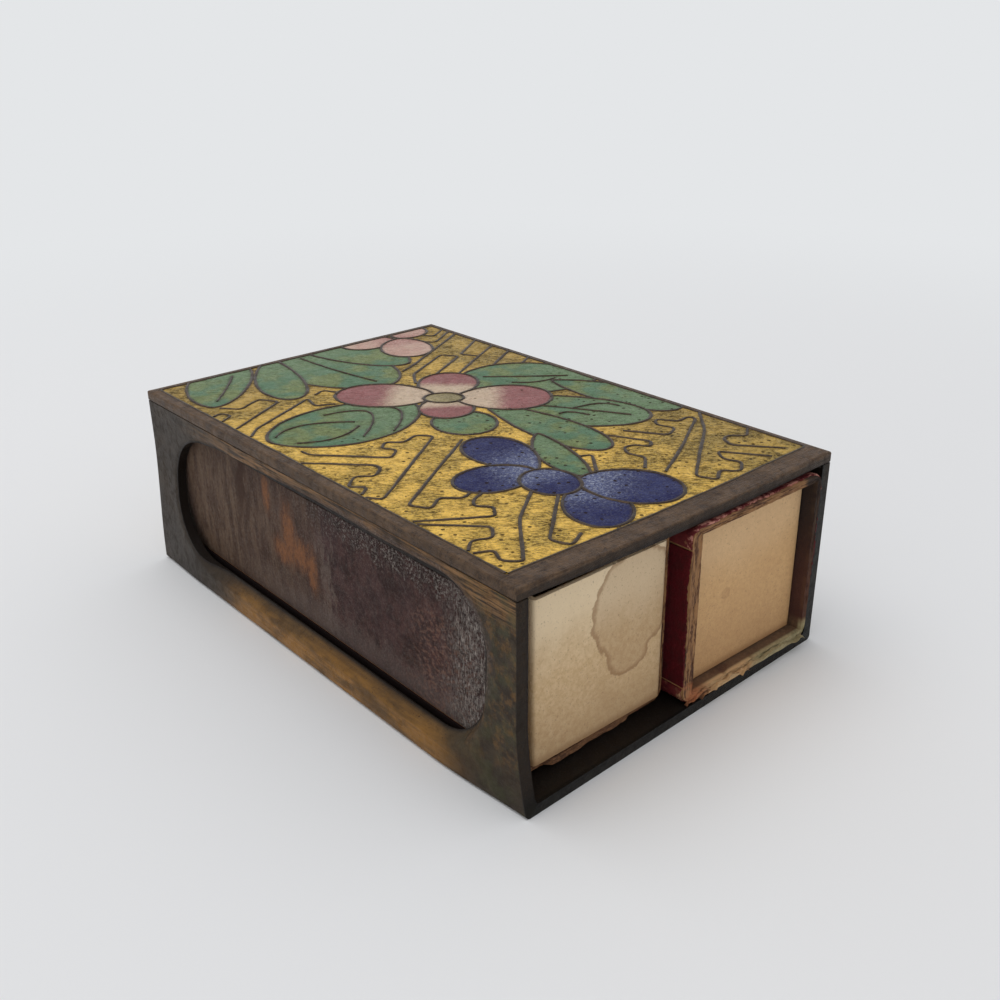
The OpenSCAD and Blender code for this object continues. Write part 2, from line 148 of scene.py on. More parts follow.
def make_piece(name, solid, body, replaces=(), sharp=40, bevel=0.0):
    """A mesh object from points, quads and caps, riding on its body; sharp is the crease angle, bevel is in mm."""
    points, quads, caps = (*solid, ())[:3]
    mesh = bpy.data.meshes.new(name)
    mesh.from_pydata(place(points).tolist(), [], quads.tolist() + [[int(i) for i in cap] for cap in caps])
    mesh.shade_smooth()
    mesh.set_sharp_from_angle(angle=math.radians(sharp))
    piece = bpy.data.objects.new(name, mesh)
    bpy.context.scene.collection.objects.link(piece)
    if bevel:
        edge = piece.modifiers.new("worn edge", "BEVEL")
        edge.width, edge.segments = bevel * 0.001, 2
        edge.limit_method, edge.angle_limit = "ANGLE", math.radians(50)
    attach(piece, body)
    if replaces:
        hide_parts(*replaces)
    print(f"{name}: {len(mesh.vertices)} points, {len(mesh.polygons)} faces")
    return piece


def give_values(piece, **values):
    """Stores one number for each point of a piece under each name, for its paint to read."""
    for name, numbers in values.items():
        layer = piece.data.attributes.new(name, "FLOAT", "POINT")
        layer.data.foreach_set("value", np.asarray(numbers, dtype=np.float32))


# %% [markdown]
# Nothing on an old hand-made case is quite straight. `wobble` is an uneven line and `ripple` an uneven
# surface, both made of a few sine waves whose phases come from a seeded random generator, so that each
# run gives the same dents. Stacked waves are smooth, which suits metal and paper; sharp random numbers
# would give grit instead.

# %% Uneven lines and surfaces
def wobble(t, seed, cycles=(1, 2, 4, 7)):
    """About -1 to 1 along t from 0 to 1: sines of whole cycles, each weaker than the last."""
    phases = np.random.default_rng(seed).uniform(0, 2 * math.pi, len(cycles))
    waves = [np.sin(2 * math.pi * c * t + p) / (k + 1.2) for k, (c, p) in enumerate(zip(cycles, phases))]
    return sum(waves) / 1.6


def ripple(x, y, seed, size, waves=8):
    """About -1 to 1 over x and y: plane waves in random directions, of lengths near a size."""
    rng = np.random.default_rng(seed)
    total = 0
    for turn, phase, stretch in zip(*rng.uniform((0, 0, 0.6), (6.283, 6.283, 1.7), (waves, 3)).T):
        k = 2 * math.pi / (size * stretch)
        total = total + np.sin(k * (x * math.cos(turn) + y * math.sin(turn)) + phase)
    return total * 1.6 / waves


def smooth(value, low, high):
    """0 below low, 1 above high and an S-curve between them."""
    t = np.clip((value - low) / (high - low), 0, 1)
    return t * t * (3 - 2 * t)


somewhere = np.random.default_rng(1).uniform(0, 50, (2, 999))
print("ripple runs between", *np.round(np.percentile(ripple(*somewhere, 3, 8), [1, 99]), 2))

# %% [markdown]
# ## The folded brass case
#
# The trough is one sheet: wall, fold, floor, fold, wall. Along its front edge the floor's left corner has
# been pushed forward, so the mouth isn't square there. The floor with its two folds is a plain grid: one
# parameter runs across the section and the other from mouth to mouth. Each wall has a window, so its grid
# goes round the window instead: one parameter runs round the opening and the other from its edge out to
# the wall's own border. Where the two grids meet they share the same points, and `weld` joins them.

# %% The mouth and the section of the sheet
def mouth(x, z):
    """How far the front edge lies from y = 0: it curves forward below FLARE_H, less and less to the right."""
    return -FLARE * np.clip(1 - z / FLARE_H, 0, 1) ** 1.6 * (1 - x / CASE_W)


def section(fold_steps=8, floor_steps=30):
    """Outer and inner outline of fold, floor, fold, as x and z pairs: two quarter turns and a line.

    Both start and end at the height FOLD_TOP, where the flat wall begins.
    """
    a = np.linspace(0, math.pi / 2, fold_steps + 1)
    quarter = lambda r: np.stack([r - r * np.cos(a), r - r * np.sin(a)], 1)
    corner = lambda high, r: np.concatenate([[[0, high], [0, (high + r) / 2]], quarter(r)])
    left_out, left_in = corner(FOLD_TOP, FOLD), corner(FOLD_TOP - FLOOR, FOLD_IN) + [WALL, FLOOR]
    t = np.linspace(0, 1, floor_steps + 1)[1:-1]
    flat = lambda x0, z: np.stack([x0 + t * (CASE_W - 2 * x0), 0 * t + z], 1)
    flip = lambda p: np.stack([CASE_W - p[::-1, 0], p[::-1, 1]], 1)
    return (np.concatenate([left_out, flat(FOLD, 0), flip(left_out)]),
            np.concatenate([left_in, flat(WALL + FOLD_IN, FLOOR), flip(left_in)]))


FOLD_TOP = 1.4
LENGTH_STEPS, HEIGHT_STEPS, RING_STEPS = 96, 26, 16
along = np.linspace(0, 1, LENGTH_STEPS + 1)


def from_mouth(x, z, t):
    """The y of a point a share t of the way from the front edge to the back edge."""
    front = mouth(x, z)
    return front + t * (CASE_L - front)


outline_out, outline_in = section()
back_from_mouth = from_mouth(outline_out[:, :1], outline_out[:, 1:], along)
floor_out, floor_in = (grid_points(o[:, :1], back_from_mouth, o[:, 1:]) for o in (outline_out, outline_in))
floor_quads = facing(floor_out, grid_quads(len(outline_out), len(along)), (0, 0, -1))
print("floor and folds:", len(floor_quads), "quads")

# %% [markdown]
# The window's edge is found from the inside out. A line runs from the window's middle towards each point
# of the wall's border, and halving steps find where it leaves the opening. The opening itself is written
# as a distance: below zero inside, above zero outside. The same distance then says how near a point of
# the wall is to the window, which is where the brass has been pressed in and rubbed down at the front.

# %% The wall round its window
def window_distance(y, z):
    """Signed distance to the window's edge: a rounded rectangle with a different radius at each end."""
    mid_y, mid_z = (WINDOW["front"] + WINDOW["back"]) / 2, (WINDOW["sill"] + WINDOW["head"]) / 2
    r = np.where(y < mid_y, WINDOW["front_r"], WINDOW["back_r"])
    qy = np.abs(y - mid_y) - (WINDOW["back"] - WINDOW["front"]) / 2 + r
    qz = np.abs(z - mid_z) - (WINDOW["head"] - WINDOW["sill"]) / 2 + r
    return np.hypot(np.maximum(qy, 0), np.maximum(qz, 0)) + np.minimum(np.maximum(qy, qz), 0) - r


def border(x):
    """The wall's border as y and z pairs, anticlockwise from the front end of the bottom."""
    t = along
    z = np.linspace(FOLD_TOP, WALL_TOP, HEIGHT_STEPS + 1)
    bottom = np.stack([from_mouth(x, FOLD_TOP, t), 0 * t + FOLD_TOP], 1)
    back = np.stack([0 * z + CASE_L, z], 1)
    top = np.stack([t[::-1] * CASE_L, 0 * t + WALL_TOP], 1)
    front = np.stack([mouth(x, z[::-1]), z[::-1]], 1)
    return np.concatenate([bottom[:-1], back[:-1], top[:-1], front[:-1]])


SPINE_INSET, HALVINGS = (5.6, 6.4), 30


def wall_grid(x, side):
    """Outer and inner face of one wall, as rings from the window's edge out to the border."""
    edge = border(x)
    mid_z = (WINDOW["sill"] + WINDOW["head"]) / 2
    spine_y = np.clip(edge[:, 0], WINDOW["front"] + SPINE_INSET[0], WINDOW["back"] - SPINE_INSET[1])
    spine = np.stack([spine_y, 0 * spine_y + mid_z], 1)
    near, far = np.zeros(len(edge)), np.ones(len(edge))
    for _ in range(HALVINGS):
        half = (near + far) / 2
        at = spine + half[:, None] * (edge - spine)
        outside = window_distance(at[:, 0], at[:, 1]) > 0
        near, far = np.where(outside, near, half), np.where(outside, half, far)
    opening = spine + far[:, None] * (edge - spine)
    rings = np.linspace(0, 1, RING_STEPS + 1) ** 1.4
    yz = opening[:, None] + rings[None, :, None] * (edge - opening)[:, None]
    y, z = yz[..., 0], yz[..., 1]
    from_ends = smooth(y, 0.3, 2.5) * smooth(CASE_L - y, 0.3, 2.5)
    free = smooth(z, FOLD_TOP, 3.2) * smooth(WALL_TOP - z, 0, 1.5) * from_ends
    dents = (0.05 + 0.05 * ripple(y, z, 11 + side, 15)) * free
    outer, inner = (grid_points(x - side * depth, y, z) for depth in (dents + press_depth(y, z), WALL))
    quads = facing(outer, grid_quads(len(edge), RING_STEPS + 1, wrap_rows=True), (side, 0, 0))
    return outer, inner, quads


def press_depth(y, z):
    """How far the outside is rubbed in: a wide band at the window's front and top, and a narrow one elsewhere."""
    away = window_distance(y, z)
    wide = (1 - smooth(away, 0, 2.7)) * smooth(z, 5, 12) * (1 - smooth(y, 26, 44))
    narrow = (1 - smooth(away, 0, 1.0)) * (1 - smooth(y, 44, 51))
    return np.clip(0.45 * wide + 0.84 * narrow, 0, 0.86) + 0.1 * (1 - smooth(away, 0, 0.6))


# %% [markdown]
# The left wall has been bent out a little in use. Its foot stands out most along the middle and hardly at
# the mouth, and its top is held by the plate. The shift fades across the floor, so the sheet stays whole.

# %% Weld floor and walls into one sheet and close it
SPREAD, EDGE_WEAR = 0.8, 0.14


def spread(points):
    """Points moved left by SPREAD, less towards the mouth, the back end, the top and the right."""
    x, y, z = points.T
    along_case = smooth(y, -4, 10) * (1 - 0.25 * smooth(y, 50, CASE_L))
    share = along_case * (1 - smooth(z, 0, 15)) * np.clip(1 - x / 9, 0, 1)
    return points - np.outer(SPREAD * share, [1, 0, 0])


parts = [(floor_out, floor_in, floor_quads), wall_grid(0.0, -1), wall_grid(CASE_W, 1)]
sheet_out, sheet_quads, _ = join([(outer, quads) for outer, _, quads in parts])
sheet_in = np.concatenate([inner for _, inner, _ in parts])
case_points, case_quads = close_sheet(*weld(sheet_out, sheet_in, sheet_quads))
case_shell = make_piece("case_shell_brass", (spread(case_points), case_quads), "holder",
                        ["case_shell"], bevel=EDGE_WEAR)
give_values(case_shell, rim=window_distance(case_points[:, 1], case_points[:, 2]),
            from_front=case_points[:, 1] - mouth(case_points[:, 0], case_points[:, 2]))

# %% [markdown]
# ## Solder fillets
#
# Solder drawn into the corner between wall and plate sets with a hollow face and an uneven edge. Each
# fillet is a three-sided section carried along the case, its free side hollowed by an arc and its leg
# made longer and shorter by a wobble.

# %% Two fillets with a hollow face
LEG, LEG_SWING, SEAM_INSET = 0.34, 0.06, 0.2


def fillet(x, side):
    """A concave quarter section along y; its leg changes with a wobble."""
    t = np.linspace(0, 1, 90)
    leg = LEG + LEG_SWING * wobble(t, 30 + side, (3, 7, 13, 29))
    a = np.linspace(0, math.pi / 2, 6)
    outline = np.concatenate([[[0, 0]], np.stack([1 - np.sin(a), 1 - np.cos(a)], 1)[::-1]])
    y = t * (CASE_L - 2 * SEAM_INSET) + SEAM_INSET
    points = np.stack([np.stack([x - side * leg * u, y, WALL_TOP - 0.01 - leg * v], 1) for u, v in outline])
    n, m = points.shape[:2]
    quads = grid_quads(n, m, wrap_rows=True)
    front, back = [[i * m + end for i in range(n)] for end in (0, m - 1)]
    if side > 0:
        return points.reshape(-1, 3), quads, [front[::-1], back]
    return points.reshape(-1, 3), quads[:, ::-1], [front, back[::-1]]


solder_piece = make_piece("solder_fillets", join([fillet(WALL, -1), fillet(CASE_W - WALL, 1)]), "holder",
                          ["solder_seams"])

# %% [markdown]
# ## The copper plate
#
# The plate is a tray: a raised rim all round, wide at the front, and a shallow recess. Its top face is a
# height drawn over a grid whose lines are bunched where the height changes, at the worn outer edge and at
# the step into the recess. The lines near the step are moved sideways by a wobble, because the rim was
# filed by hand. The middle of the front edge hangs a little, which `sag` gives to everything up here.

# %% The plate as a height over bunched grid lines
SAG, SAG_REACH, SAG_INSET = 0.34, 13, 1.5
EDGE_ROUND, EDGE_REACH = 0.2, 0.26


def sag(x, y):
    """How far the top hangs: a half sine across the case that dies away from the front edge."""
    across = np.clip((x - SAG_INSET) / (CASE_W - 2 * SAG_INSET), 0, 1)
    return SAG * np.sin(math.pi * across) * np.exp(-np.clip(y, 0, None) / SAG_REACH)


def bunched(size, low_rim, high_rim):
    """Grid lines from 0 to size, close together at both edges and on both sides of each rim."""
    edge = np.array([0, 0.03, 0.08, 0.16, 0.28])
    step = np.array([-0.16, -0.06, 0, 0.05, 0.16])
    middle = np.linspace(low_rim + 0.6, size - high_rim - 0.6, int(size / 1.1))
    lines = np.concatenate([edge, low_rim + step, middle, size - high_rim - step[::-1], size - edge[::-1]])
    return np.unique(np.round(lines, 4))


line_x, line_y = bunched(CASE_W, RIM["left"], RIM["right"]), bunched(CASE_L, RIM["front"], RIM["back"])
plate_x, plate_y = np.meshgrid(line_x, line_y, indexing="ij")
in_recess = ((plate_x > RIM["left"] + 0.01) & (plate_x < CASE_W - RIM["right"] - 0.01)
             & (plate_y > RIM["front"] + 0.01) & (plate_y < CASE_L - RIM["back"] - 0.01))
to_edge = np.minimum.reduce([plate_x, CASE_W - plate_x, plate_y, CASE_L - plate_y])
rounded = EDGE_ROUND * (1 - np.sqrt(1 - np.clip(1 - to_edge / EDGE_REACH, 0, 1) ** 2))
filed_x = 0.07 * wobble(plate_y / CASE_L, 5, (2, 5, 9, 17)) * np.exp(-((plate_x - RIM["left"]) / 0.4) ** 2)
filed_y = 0.09 * wobble(plate_x / CASE_W, 6, (1, 3, 7, 13)) * np.exp(-((plate_y - RIM["front"]) / 0.5) ** 2)
inside_edges = to_edge > 0.1
hammered = 0.02 * (1 + ripple(plate_x, plate_y, 8, 6)) * inside_edges
top_z = np.where(in_recess, RECESS_Z, CASE_H - rounded - hammered)
hang = sag(plate_x, plate_y)
plate_top = grid_points(plate_x + filed_x * inside_edges, plate_y + filed_y * inside_edges, top_z - hang)
plate_low = grid_points(plate_x, plate_y, WALL_TOP - hang + 0.6 * rounded)
plate_quads = facing(plate_top, grid_quads(len(line_x), len(line_y)), (0, 0, 1))
plate_piece = make_piece("enamel_plate_copper", close_sheet(plate_top, plate_low, plate_quads), "holder",
                         ["enamel_plate"], sharp=50)

# %% [markdown]
# ## The drawing
#
# Every petal and leaf is one rule: from a point p to a point q its half width rises as a power of the way
# along it and falls as a power of the way left, and its middle line bows to one side. Cells later in the
# list lie over those before them. The fret is a set of bent lines that run under the cells. All of it is
# measured in the recess, from its front left corner.

# %% Cells, veins and fret
CELLS = [
    ("green", (19.3, 40.3), (15.8, 59.0), 5.8, 0.55, 0.5, 0),
    ("green", (25.0, 45.0), (19.5, 58.5), 3.3, 0.55, 0.6, -0.6),
    ("green", (9.0, 43.2), (14.6, 57.6), 2.5, 0.5, 0.9, 0.5),
    ("green", (1.6, 46.6), (10.2, 58.0), 3.3, 0.6, 0.5, 0.6),
    ("green", (25.2, 36.4), (36.9, 27.2), 5.2, 0.5, 0.6, 0.4),
    ("green", (32.6, 29.6), (35.9, 14.5), 2.9, 0.8, 0.5, 0.3),
    ("green", (23.2, 29.0), (32.0, 14.9), 4.0, 0.6, 0.5, -0.2),
    ("green", (23.0, 12.0), (22.6, 30.0), 2.65, 0.5, 1.0, 0),
    ("green", (17.1, 8.7), (20.8, 19.2), 1.7, 0.7, 0.8, 0.55),
    ("green", (17.4, 22.7), (17.7, 29.4), 3.1, 0.5, 0.5, 0),
    ("green", (0.9, 34.4), (17.2, 33.3), 5.3, 0.6, 0.62, -0.35),
    ("rose", (26.4, 38.9), (20.9, 33.6), 3.2, 0.5, 0.6, 0),
    ("rose", (13.0, 41.6), (20.2, 34.0), 3.6, 0.5, 0.6, 0),
    ("rose", (17.2, 28.0), (20.7, 33.2), 2.8, 0.5, 0.6, 0),
    ("rose", (29.0, 25.8), (21.4, 32.4), 3.75, 0.5, 0.65, 0),
    ("bud", (19.0, 34.4), (22.2, 31.8), 1.5, 0.5, 0.5, 0),
    ("blush", (23.0, 55.4), (29.5, 53.9), 2.5, 0.5, 0.6, 0),
    ("blush", (34.6, 56.4), (30.1, 53.8), 2.3, 0.5, 0.6, 0),
    ("blush", (27.0, 46.6), (30.0, 53.6), 3.0, 0.5, 0.6, 0),
    ("blue", (15.4, 22.2), (14.7, 12.7), 2.95, 0.5, 0.75, 0),
    ("blue", (7.1, 14.6), (14.7, 13.1), 2.75, 0.5, 0.6, 0),
    ("blue", (11.3, 0.8), (15.9, 7.8), 2.85, 0.5, 0.6, 0),
    ("blue", (20.9, 1.2), (16.1, 9.0), 3.4, 0.5, 0.6, 0),
    ("blue", (13.6, 7.3), (14.3, 13.0), 2.55, 0.5, 0.5, 0),
]
VEINS = [
    (10, (1.9, 34.9), (5.4, 36.0), (9.8, 33.4)), (10, (2.6, 32.3), (6.0, 31.0), (9.4, 32.2)),
    (10, (8.6, 37.0), (12.4, 34.6), (8.2, 29.6)), (10, (12.8, 36.4), (15.0, 33.2), (11.2, 28.9)),
    (6, (25.0, 26.6), (28.2, 21.6), (31.0, 16.6)), (6, (26.0, 21.6), (27.2, 21.2), (28.0, 19.4)),
    (6, (28.2, 21.8), (31.0, 21.0), (32.0, 19.2)), (4, (28.0, 35.6), (31.6, 32.4), (35.0, 29.6)),
    (4, (29.0, 32.0), (31.0, 30.4), (33.4, 30.0)), (0, (18.6, 42.2), (17.6, 48.0), (17.0, 54.8)),
    (3, (2.8, 48.0), (5.6, 51.2), (8.0, 54.4)),
]
FRET = [
    [(0.2, 28.0), (4.9, 23.0), (4.8, 22.1), (3.4, 21.0), (2.1, 22.2), (0.4, 20.7), (1.6, 19.5), (0.2, 18.5)],
    [(1.8, 30.4), (1.9, 29.0), (7.0, 23.5), (8.5, 24.8), (7.6, 25.9), (8.7, 27.0), (10.1, 25.8), (11.9, 26.5),
     (13.1, 25.2), (1.1, 16.6), (0.2, 18.0)],
    [(14.6, 22.8), (1.9, 14.3), (2.9, 12.5), (4.7, 13.8), (6.2, 12.4), (8.0, 13.2)],
    [(8.6, 12.4), (6.7, 11.7), (5.8, 10.6), (7.0, 9.5), (5.9, 8.0), (0.2, 11.6)],
    [(0.2, 11.0), (4.4, 6.7), (3.2, 5.2), (1.6, 5.9), (0.2, 4.6)],
    [(0.2, 4.2), (1.9, 3.5), (1.1, 1.9), (2.3, 0.7), (7.1, 6.5), (12.2, 10.4)],
    [(12.6, 7.8), (6.2, 2.1), (7.0, 0.4), (9.0, 1.5)],
    [(19.6, 12.6), (20.9, 12.0), (18.4, 9.0)],
    [(22.0, 6.7), (24.0, 8.4), (23.4, 10.1), (24.3, 11.3), (25.4, 11.0), (26.2, 9.7), (27.2, 10.6), (25.3, 14.4)],
    [(27.2, 14.3), (29.6, 10.5), (31.4, 11.3), (30.7, 13.1), (31.7, 14.1), (33.0, 12.2), (34.6, 12.4),
     (34.8, 11.6), (28.6, 8.0), (22.8, 5.0)],
    [(36.3, 12.4), (32.8, 8.9), (28.4, 5.8), (24.1, 2.7), (24.9, 0.9), (26.5, 2.1), (27.8, 0.7), (29.4, 1.9),
     (28.7, 3.4), (29.7, 4.9), (32.4, 0.7)],
    [(34.8, 1.0), (31.8, 5.0), (32.4, 6.4), (33.4, 6.7), (34.6, 5.3), (36.3, 6.6)],
    [(0.2, 36.6), (1.8, 38.2), (10.1, 42.4), (9.4, 40.0), (11.4, 39.0)],
    [(0.2, 39.4), (7.4, 43.6), (6.2, 45.6), (3.4, 44.2), (1.9, 46.0)],
    [(0.2, 42.2), (1.8, 43.2), (1.2, 44.5), (0.2, 44.0)],
    [(11.2, 42.8), (12.6, 43.6), (13.6, 41.8)],
    [(21.2, 38.6), (23.0, 41.4), (29.6, 45.0), (30.8, 43.2), (24.6, 39.6), (26.0, 37.8), (36.3, 43.8)],
    [(22.6, 43.0), (24.6, 43.8), (36.3, 50.6)],
    [(29.6, 36.8), (36.3, 40.8)],
    [(33.4, 33.6), (32.8, 35.4), (36.3, 37.4)],
    [(32.6, 41.4), (31.4, 43.6), (36.3, 46.8)],
    [(31.2, 50.8), (32.3, 49.4), (36.3, 51.9)],
    [(33.0, 52.8), (33.8, 51.6), (36.3, 53.2)],
]
RECESS = np.array([CASE_W - RIM["left"] - RIM["right"], CASE_L - RIM["front"] - RIM["back"]])
print(len(CELLS), "cells,", len(VEINS), "veins,", len(FRET), "fret lines on", RECESS, "mm")


# %% Where a point lies in a cell, and a cell's outline
def cell_frame(cell, t):
    """A cell's start, way and crosswise direction, and the bow and half width a share t of the way along it."""
    _, p, q, w, a, b, bend = cell
    p, q = np.array(p, dtype=float), np.array(q, dtype=float)
    across = np.array([-(q - p)[1], (q - p)[0]]) / np.hypot(*(q - p))
    peak = (a / (a + b)) ** a * (b / (a + b)) ** b
    return p, q - p, across, 4 * bend * t * (1 - t), w * t**a * (1 - t) ** b / peak


def in_cell(cell, xy):
    """s, the share of the way from p to q; side, the distance from the bowed middle line; room, the half width."""
    p, way, across, _, _ = cell_frame(cell, 0.5)
    s = (xy - p) @ way / np.hypot(*way) ** 2
    _, _, _, bow, room = cell_frame(cell, np.clip(s, 0, 1))
    return s, (xy - p) @ across - bow, room


def is_inside(cell, xy):
    """True where a point lies between a cell's two edges."""
    s, side, room = in_cell(cell, xy)
    return (s > 0) & (s < 1) & (np.abs(side) < room)


def cell_outline(cell, steps=90):
    """Both edges of a cell as one closed line: out along one side of the middle line, back along the other."""
    s = (1 - np.cos(np.linspace(0, math.pi, steps))) / 2
    p, way, across, bow, room = cell_frame(cell, s)
    middle = p + s[:, None] * way + bow[:, None] * across
    return np.concatenate([middle + room[:, None] * across, (middle - room[:, None] * across)[-2::-1]])


def covered(xy, first):
    """True where a point lies in any cell from a place in the list on."""
    hidden = np.zeros(len(xy), dtype=bool)
    for cell in CELLS[first:]:
        hidden |= is_inside(cell, xy)
    return hidden


# %% [markdown]
# ## Cloison wires
#
# A real cloison is a flat ribbon stood on edge, so from above it is a thin line of even width with small
# kinks. It is built as a blunt oval carried along the line: bends are rounded by averaging neighbouring
# points, hidden stretches are cut away, and each stretch left over becomes one closed tube. A curve
# object with a bevel would be quicker, but its width couldn't wander as a hand-bent wire's does.

# %% Lines, cut into visible stretches
def resample(path, step):
    """Evenly spaced points along a line."""
    path = np.asarray(path, dtype=float)
    at = np.concatenate([[0], np.cumsum(np.hypot(*np.diff(path, axis=0).T))])
    t = np.linspace(0, at[-1], max(int(at[-1] / step), 3) + 1)
    return np.stack([np.interp(t, at, path[:, k]) for k in (0, 1)], 1)


LINE_STEP, SHORTEST_RUN = 0.1, 5


def rounded_bends(path, reach=5):
    """A line whose bends are softened: each point becomes the mean of its neighbours."""
    line = resample(path, LINE_STEP)
    padded = np.concatenate([np.repeat(line[:1], reach, 0), line, np.repeat(line[-1:], reach, 0)])
    window = np.ones(2 * reach + 1) / (2 * reach + 1)
    return np.stack([np.convolve(padded[:, k], window, "valid") for k in (0, 1)], 1)


def visible_runs(line, visible):
    """The stretches of a line that stay: runs of visible points at least 0.5 mm long."""
    edges = np.flatnonzero(np.diff(np.concatenate([[0], visible.astype(int), [0]])))
    return [line[a:b] for a, b in zip(edges[::2], edges[1::2]) if b - a > SHORTEST_RUN]


def inside_recess(xy, margin=0.06):
    """True for points of the drawing that lie inside the recess by a margin."""
    return ((xy > margin) & (xy < RECESS - margin)).all(axis=1)


WIRE, VEIN = 0.36, 0.26
WIRE_STEP, WIRE_SUNK, WIRE_RISE = 0.22, 0.1, 0.13
ROUND_WIRE = np.arange(8) * math.pi / 4


def wire_tubes(lines, width, seed):
    """Closed ovals along lines: 8 points round, width wandering by a wobble, with a cap at each end."""
    solids = []
    for k, line in enumerate(lines):
        line = resample(line, WIRE_STEP)
        n = len(line)
        t = np.linspace(0, 1, n)
        ahead = np.gradient(line, axis=0)
        ahead /= np.maximum(np.hypot(*ahead.T), 1e-9)[:, None]
        across = np.stack([-ahead[:, 1], ahead[:, 0]], 1)
        line = line + (0.035 * wobble(t * n / 60, seed + k, (1, 3, 5)))[:, None] * across
        half = width / 2 * (1 + 0.16 * wobble(t * n / 45, seed + 99 + k, (1, 2, 5)))
        x, y = (line + [RIM["left"], RIM["front"]]).T
        z = CASE_H - sag(x, y) - WIRE_SUNK + 0.015 * wobble(t * n / 50, seed + 7 + k, (1, 3))
        aside = half[:, None] * np.cos(ROUND_WIRE)
        solids.append(tube(np.stack([x[:, None] + across[:, :1] * aside, y[:, None] + across[:, 1:] * aside,
                                     z[:, None] + WIRE_RISE * np.sin(ROUND_WIRE)[None, :]], -1)))
    return join(solids)


# %% Fret, petal and leaf wires
fret_runs = []
for fret_line in FRET:
    bent = rounded_bends(fret_line)
    fret_runs += visible_runs(bent, ~covered(bent, 0) & inside_recess(bent))
near, (far_x, far_y) = 0.05, RECESS - 0.05
fret_runs.append(rounded_bends([(near, near), (far_x, near), (far_x, far_y), (near, far_y), (near, near)]))
outline_runs = {"petal": [], "leaf": []}
for k, cell in enumerate(CELLS):
    edge = resample(cell_outline(cell), LINE_STEP)
    runs = visible_runs(edge, ~covered(edge, k + 1) & inside_recess(edge))
    outline_runs["leaf" if cell[0] == "green" else "petal"] += runs
vein_runs = []
t = np.linspace(0, 1, 40)[:, None]
shares = (1 - t) * (1 - 2 * t), 4 * t * (1 - t), t * (2 * t - 1)
for k, *ends in VEINS:
    bow = resample(sum(share * np.array(end) for share, end in zip(shares, ends)), LINE_STEP)
    vein_runs += visible_runs(bow, is_inside(CELLS[k], bow) & ~covered(bow, k + 1) & inside_recess(bow))

fret_piece = make_piece("fret_wire", wire_tubes(fret_runs, WIRE, 100), "holder", ["fret_wires"],
                        sharp=60)
petal_piece = make_piece("petal_wire", wire_tubes(outline_runs["petal"], WIRE, 300), "holder",
                         ["petal_wires"], sharp=60)
leaf_tubes = join([wire_tubes(outline_runs["leaf"], WIRE, 500), wire_tubes(vein_runs, VEIN, 700)])
leaf_piece = make_piece("leaf_wire", leaf_tubes, "holder", ["leaf_wires"], sharp=60)

# %% [markdown]
# ## Enamel
#
# Fired glass creeps up the wires and is stoned down flush, which leaves each cell faintly cushioned. All
# cells share one fine grid over the recess. Its height comes from the distance to the nearest wire, and
# each quad belongs to the cell that lies on top there, so the grid falls apart into one sheet for each
# colour. The sheets' ragged edges lie under the wires. Two values go with each point for the paint to
# use: how far along its petal the point lies, and how far from the nearest wire.

# %% Height over the recess
GRID, SUNK, CUSHION, CREEP, GLASS = 0.16, 0.07, 0.05, 0.55, 0.4
KINDS = ("yellow", "green", "blue", "rose", "blush", "bud")
art_lines = [np.linspace(0, size, int(size / GRID) + 1) for size in RECESS]
art = np.stack(np.meshgrid(*art_lines, indexing="ij"), -1).reshape(-1, 2)
all_runs = fret_runs + outline_runs["petal"] + outline_runs["leaf"] + vein_runs
wire_points = np.concatenate([resample(run, 0.3) for run in all_runs])


def distance_to(points, targets, chunk=2000):
    """Distance from each point to the nearest target, worked out a block of points at a time."""
    blocks = np.array_split(points, len(points) // chunk + 1)
    return np.concatenate([np.sqrt(((p[:, None] - targets[None]) ** 2).sum(-1).min(1)) for p in blocks])


to_wire = distance_to(art.astype(np.float32), wire_points.astype(np.float32))
cushion = CUSHION * (1 - np.exp(-((to_wire / CREEP) ** 2)))
art_case = art + [RIM["left"], RIM["front"]]
art_z = CASE_H - SUNK + cushion + 0.012 * ripple(art[:, 0], art[:, 1], 21, 2.2) - sag(*art_case.T)
art_quads = grid_quads(*map(len, art_lines))
centres = art[art_quads].mean(axis=1)
top_cell = np.full(len(centres), -1)
for k, cell in enumerate(CELLS):
    top_cell[is_inside(cell, centres)] = k
print("wire points:", len(wire_points), " quads:", len(art_quads))


# %% One enamel sheet for each colour
def enamel_sheet(kind):
    """The quads whose top cell has a kind, closed downwards, with along and to_wire for the paint."""
    node = kind + "_enamel"
    kinds = np.array([c[0] for c in CELLS] + ["yellow"])
    mine = kinds[top_cell] == kind
    used, quads = np.unique(art_quads[mine], return_inverse=True)
    quads = quads.reshape(-1, 4)
    owner = np.zeros(len(used), dtype=int)
    owner[quads.ravel()] = np.repeat(top_cell[mine], 4)
    top = np.stack([*art_case[used].T, art_z[used]], 1)
    solid = close_sheet(top, top - [0, 0, GLASS], facing(top, quads, (0, 0, 1)))
    sheet = make_piece(node + "_fill", solid, "holder", [node], sharp=50)
    share = np.zeros(len(used))
    for k in np.unique(owner[owner >= 0]):
        share[owner == k] = np.clip(in_cell(CELLS[k], art[used][owner == k])[0], 0, 1)
    give_values(sheet, along=np.tile(share, 2), to_wire=np.tile(to_wire[used], 2))
    return sheet


enamel = {kind: enamel_sheet(kind) for kind in KINDS}

# %% [markdown]
# ## The matchboxes
#
# A cover is one strip of thin board wrapped into a sleeve, its ends glued one over the other on the left
# side, which is why that side is twice as thick. Maroon paper is pasted over the top and the bottom, and
# a striking strip over each side. The left cover is pushed in a little and the right one stands out.

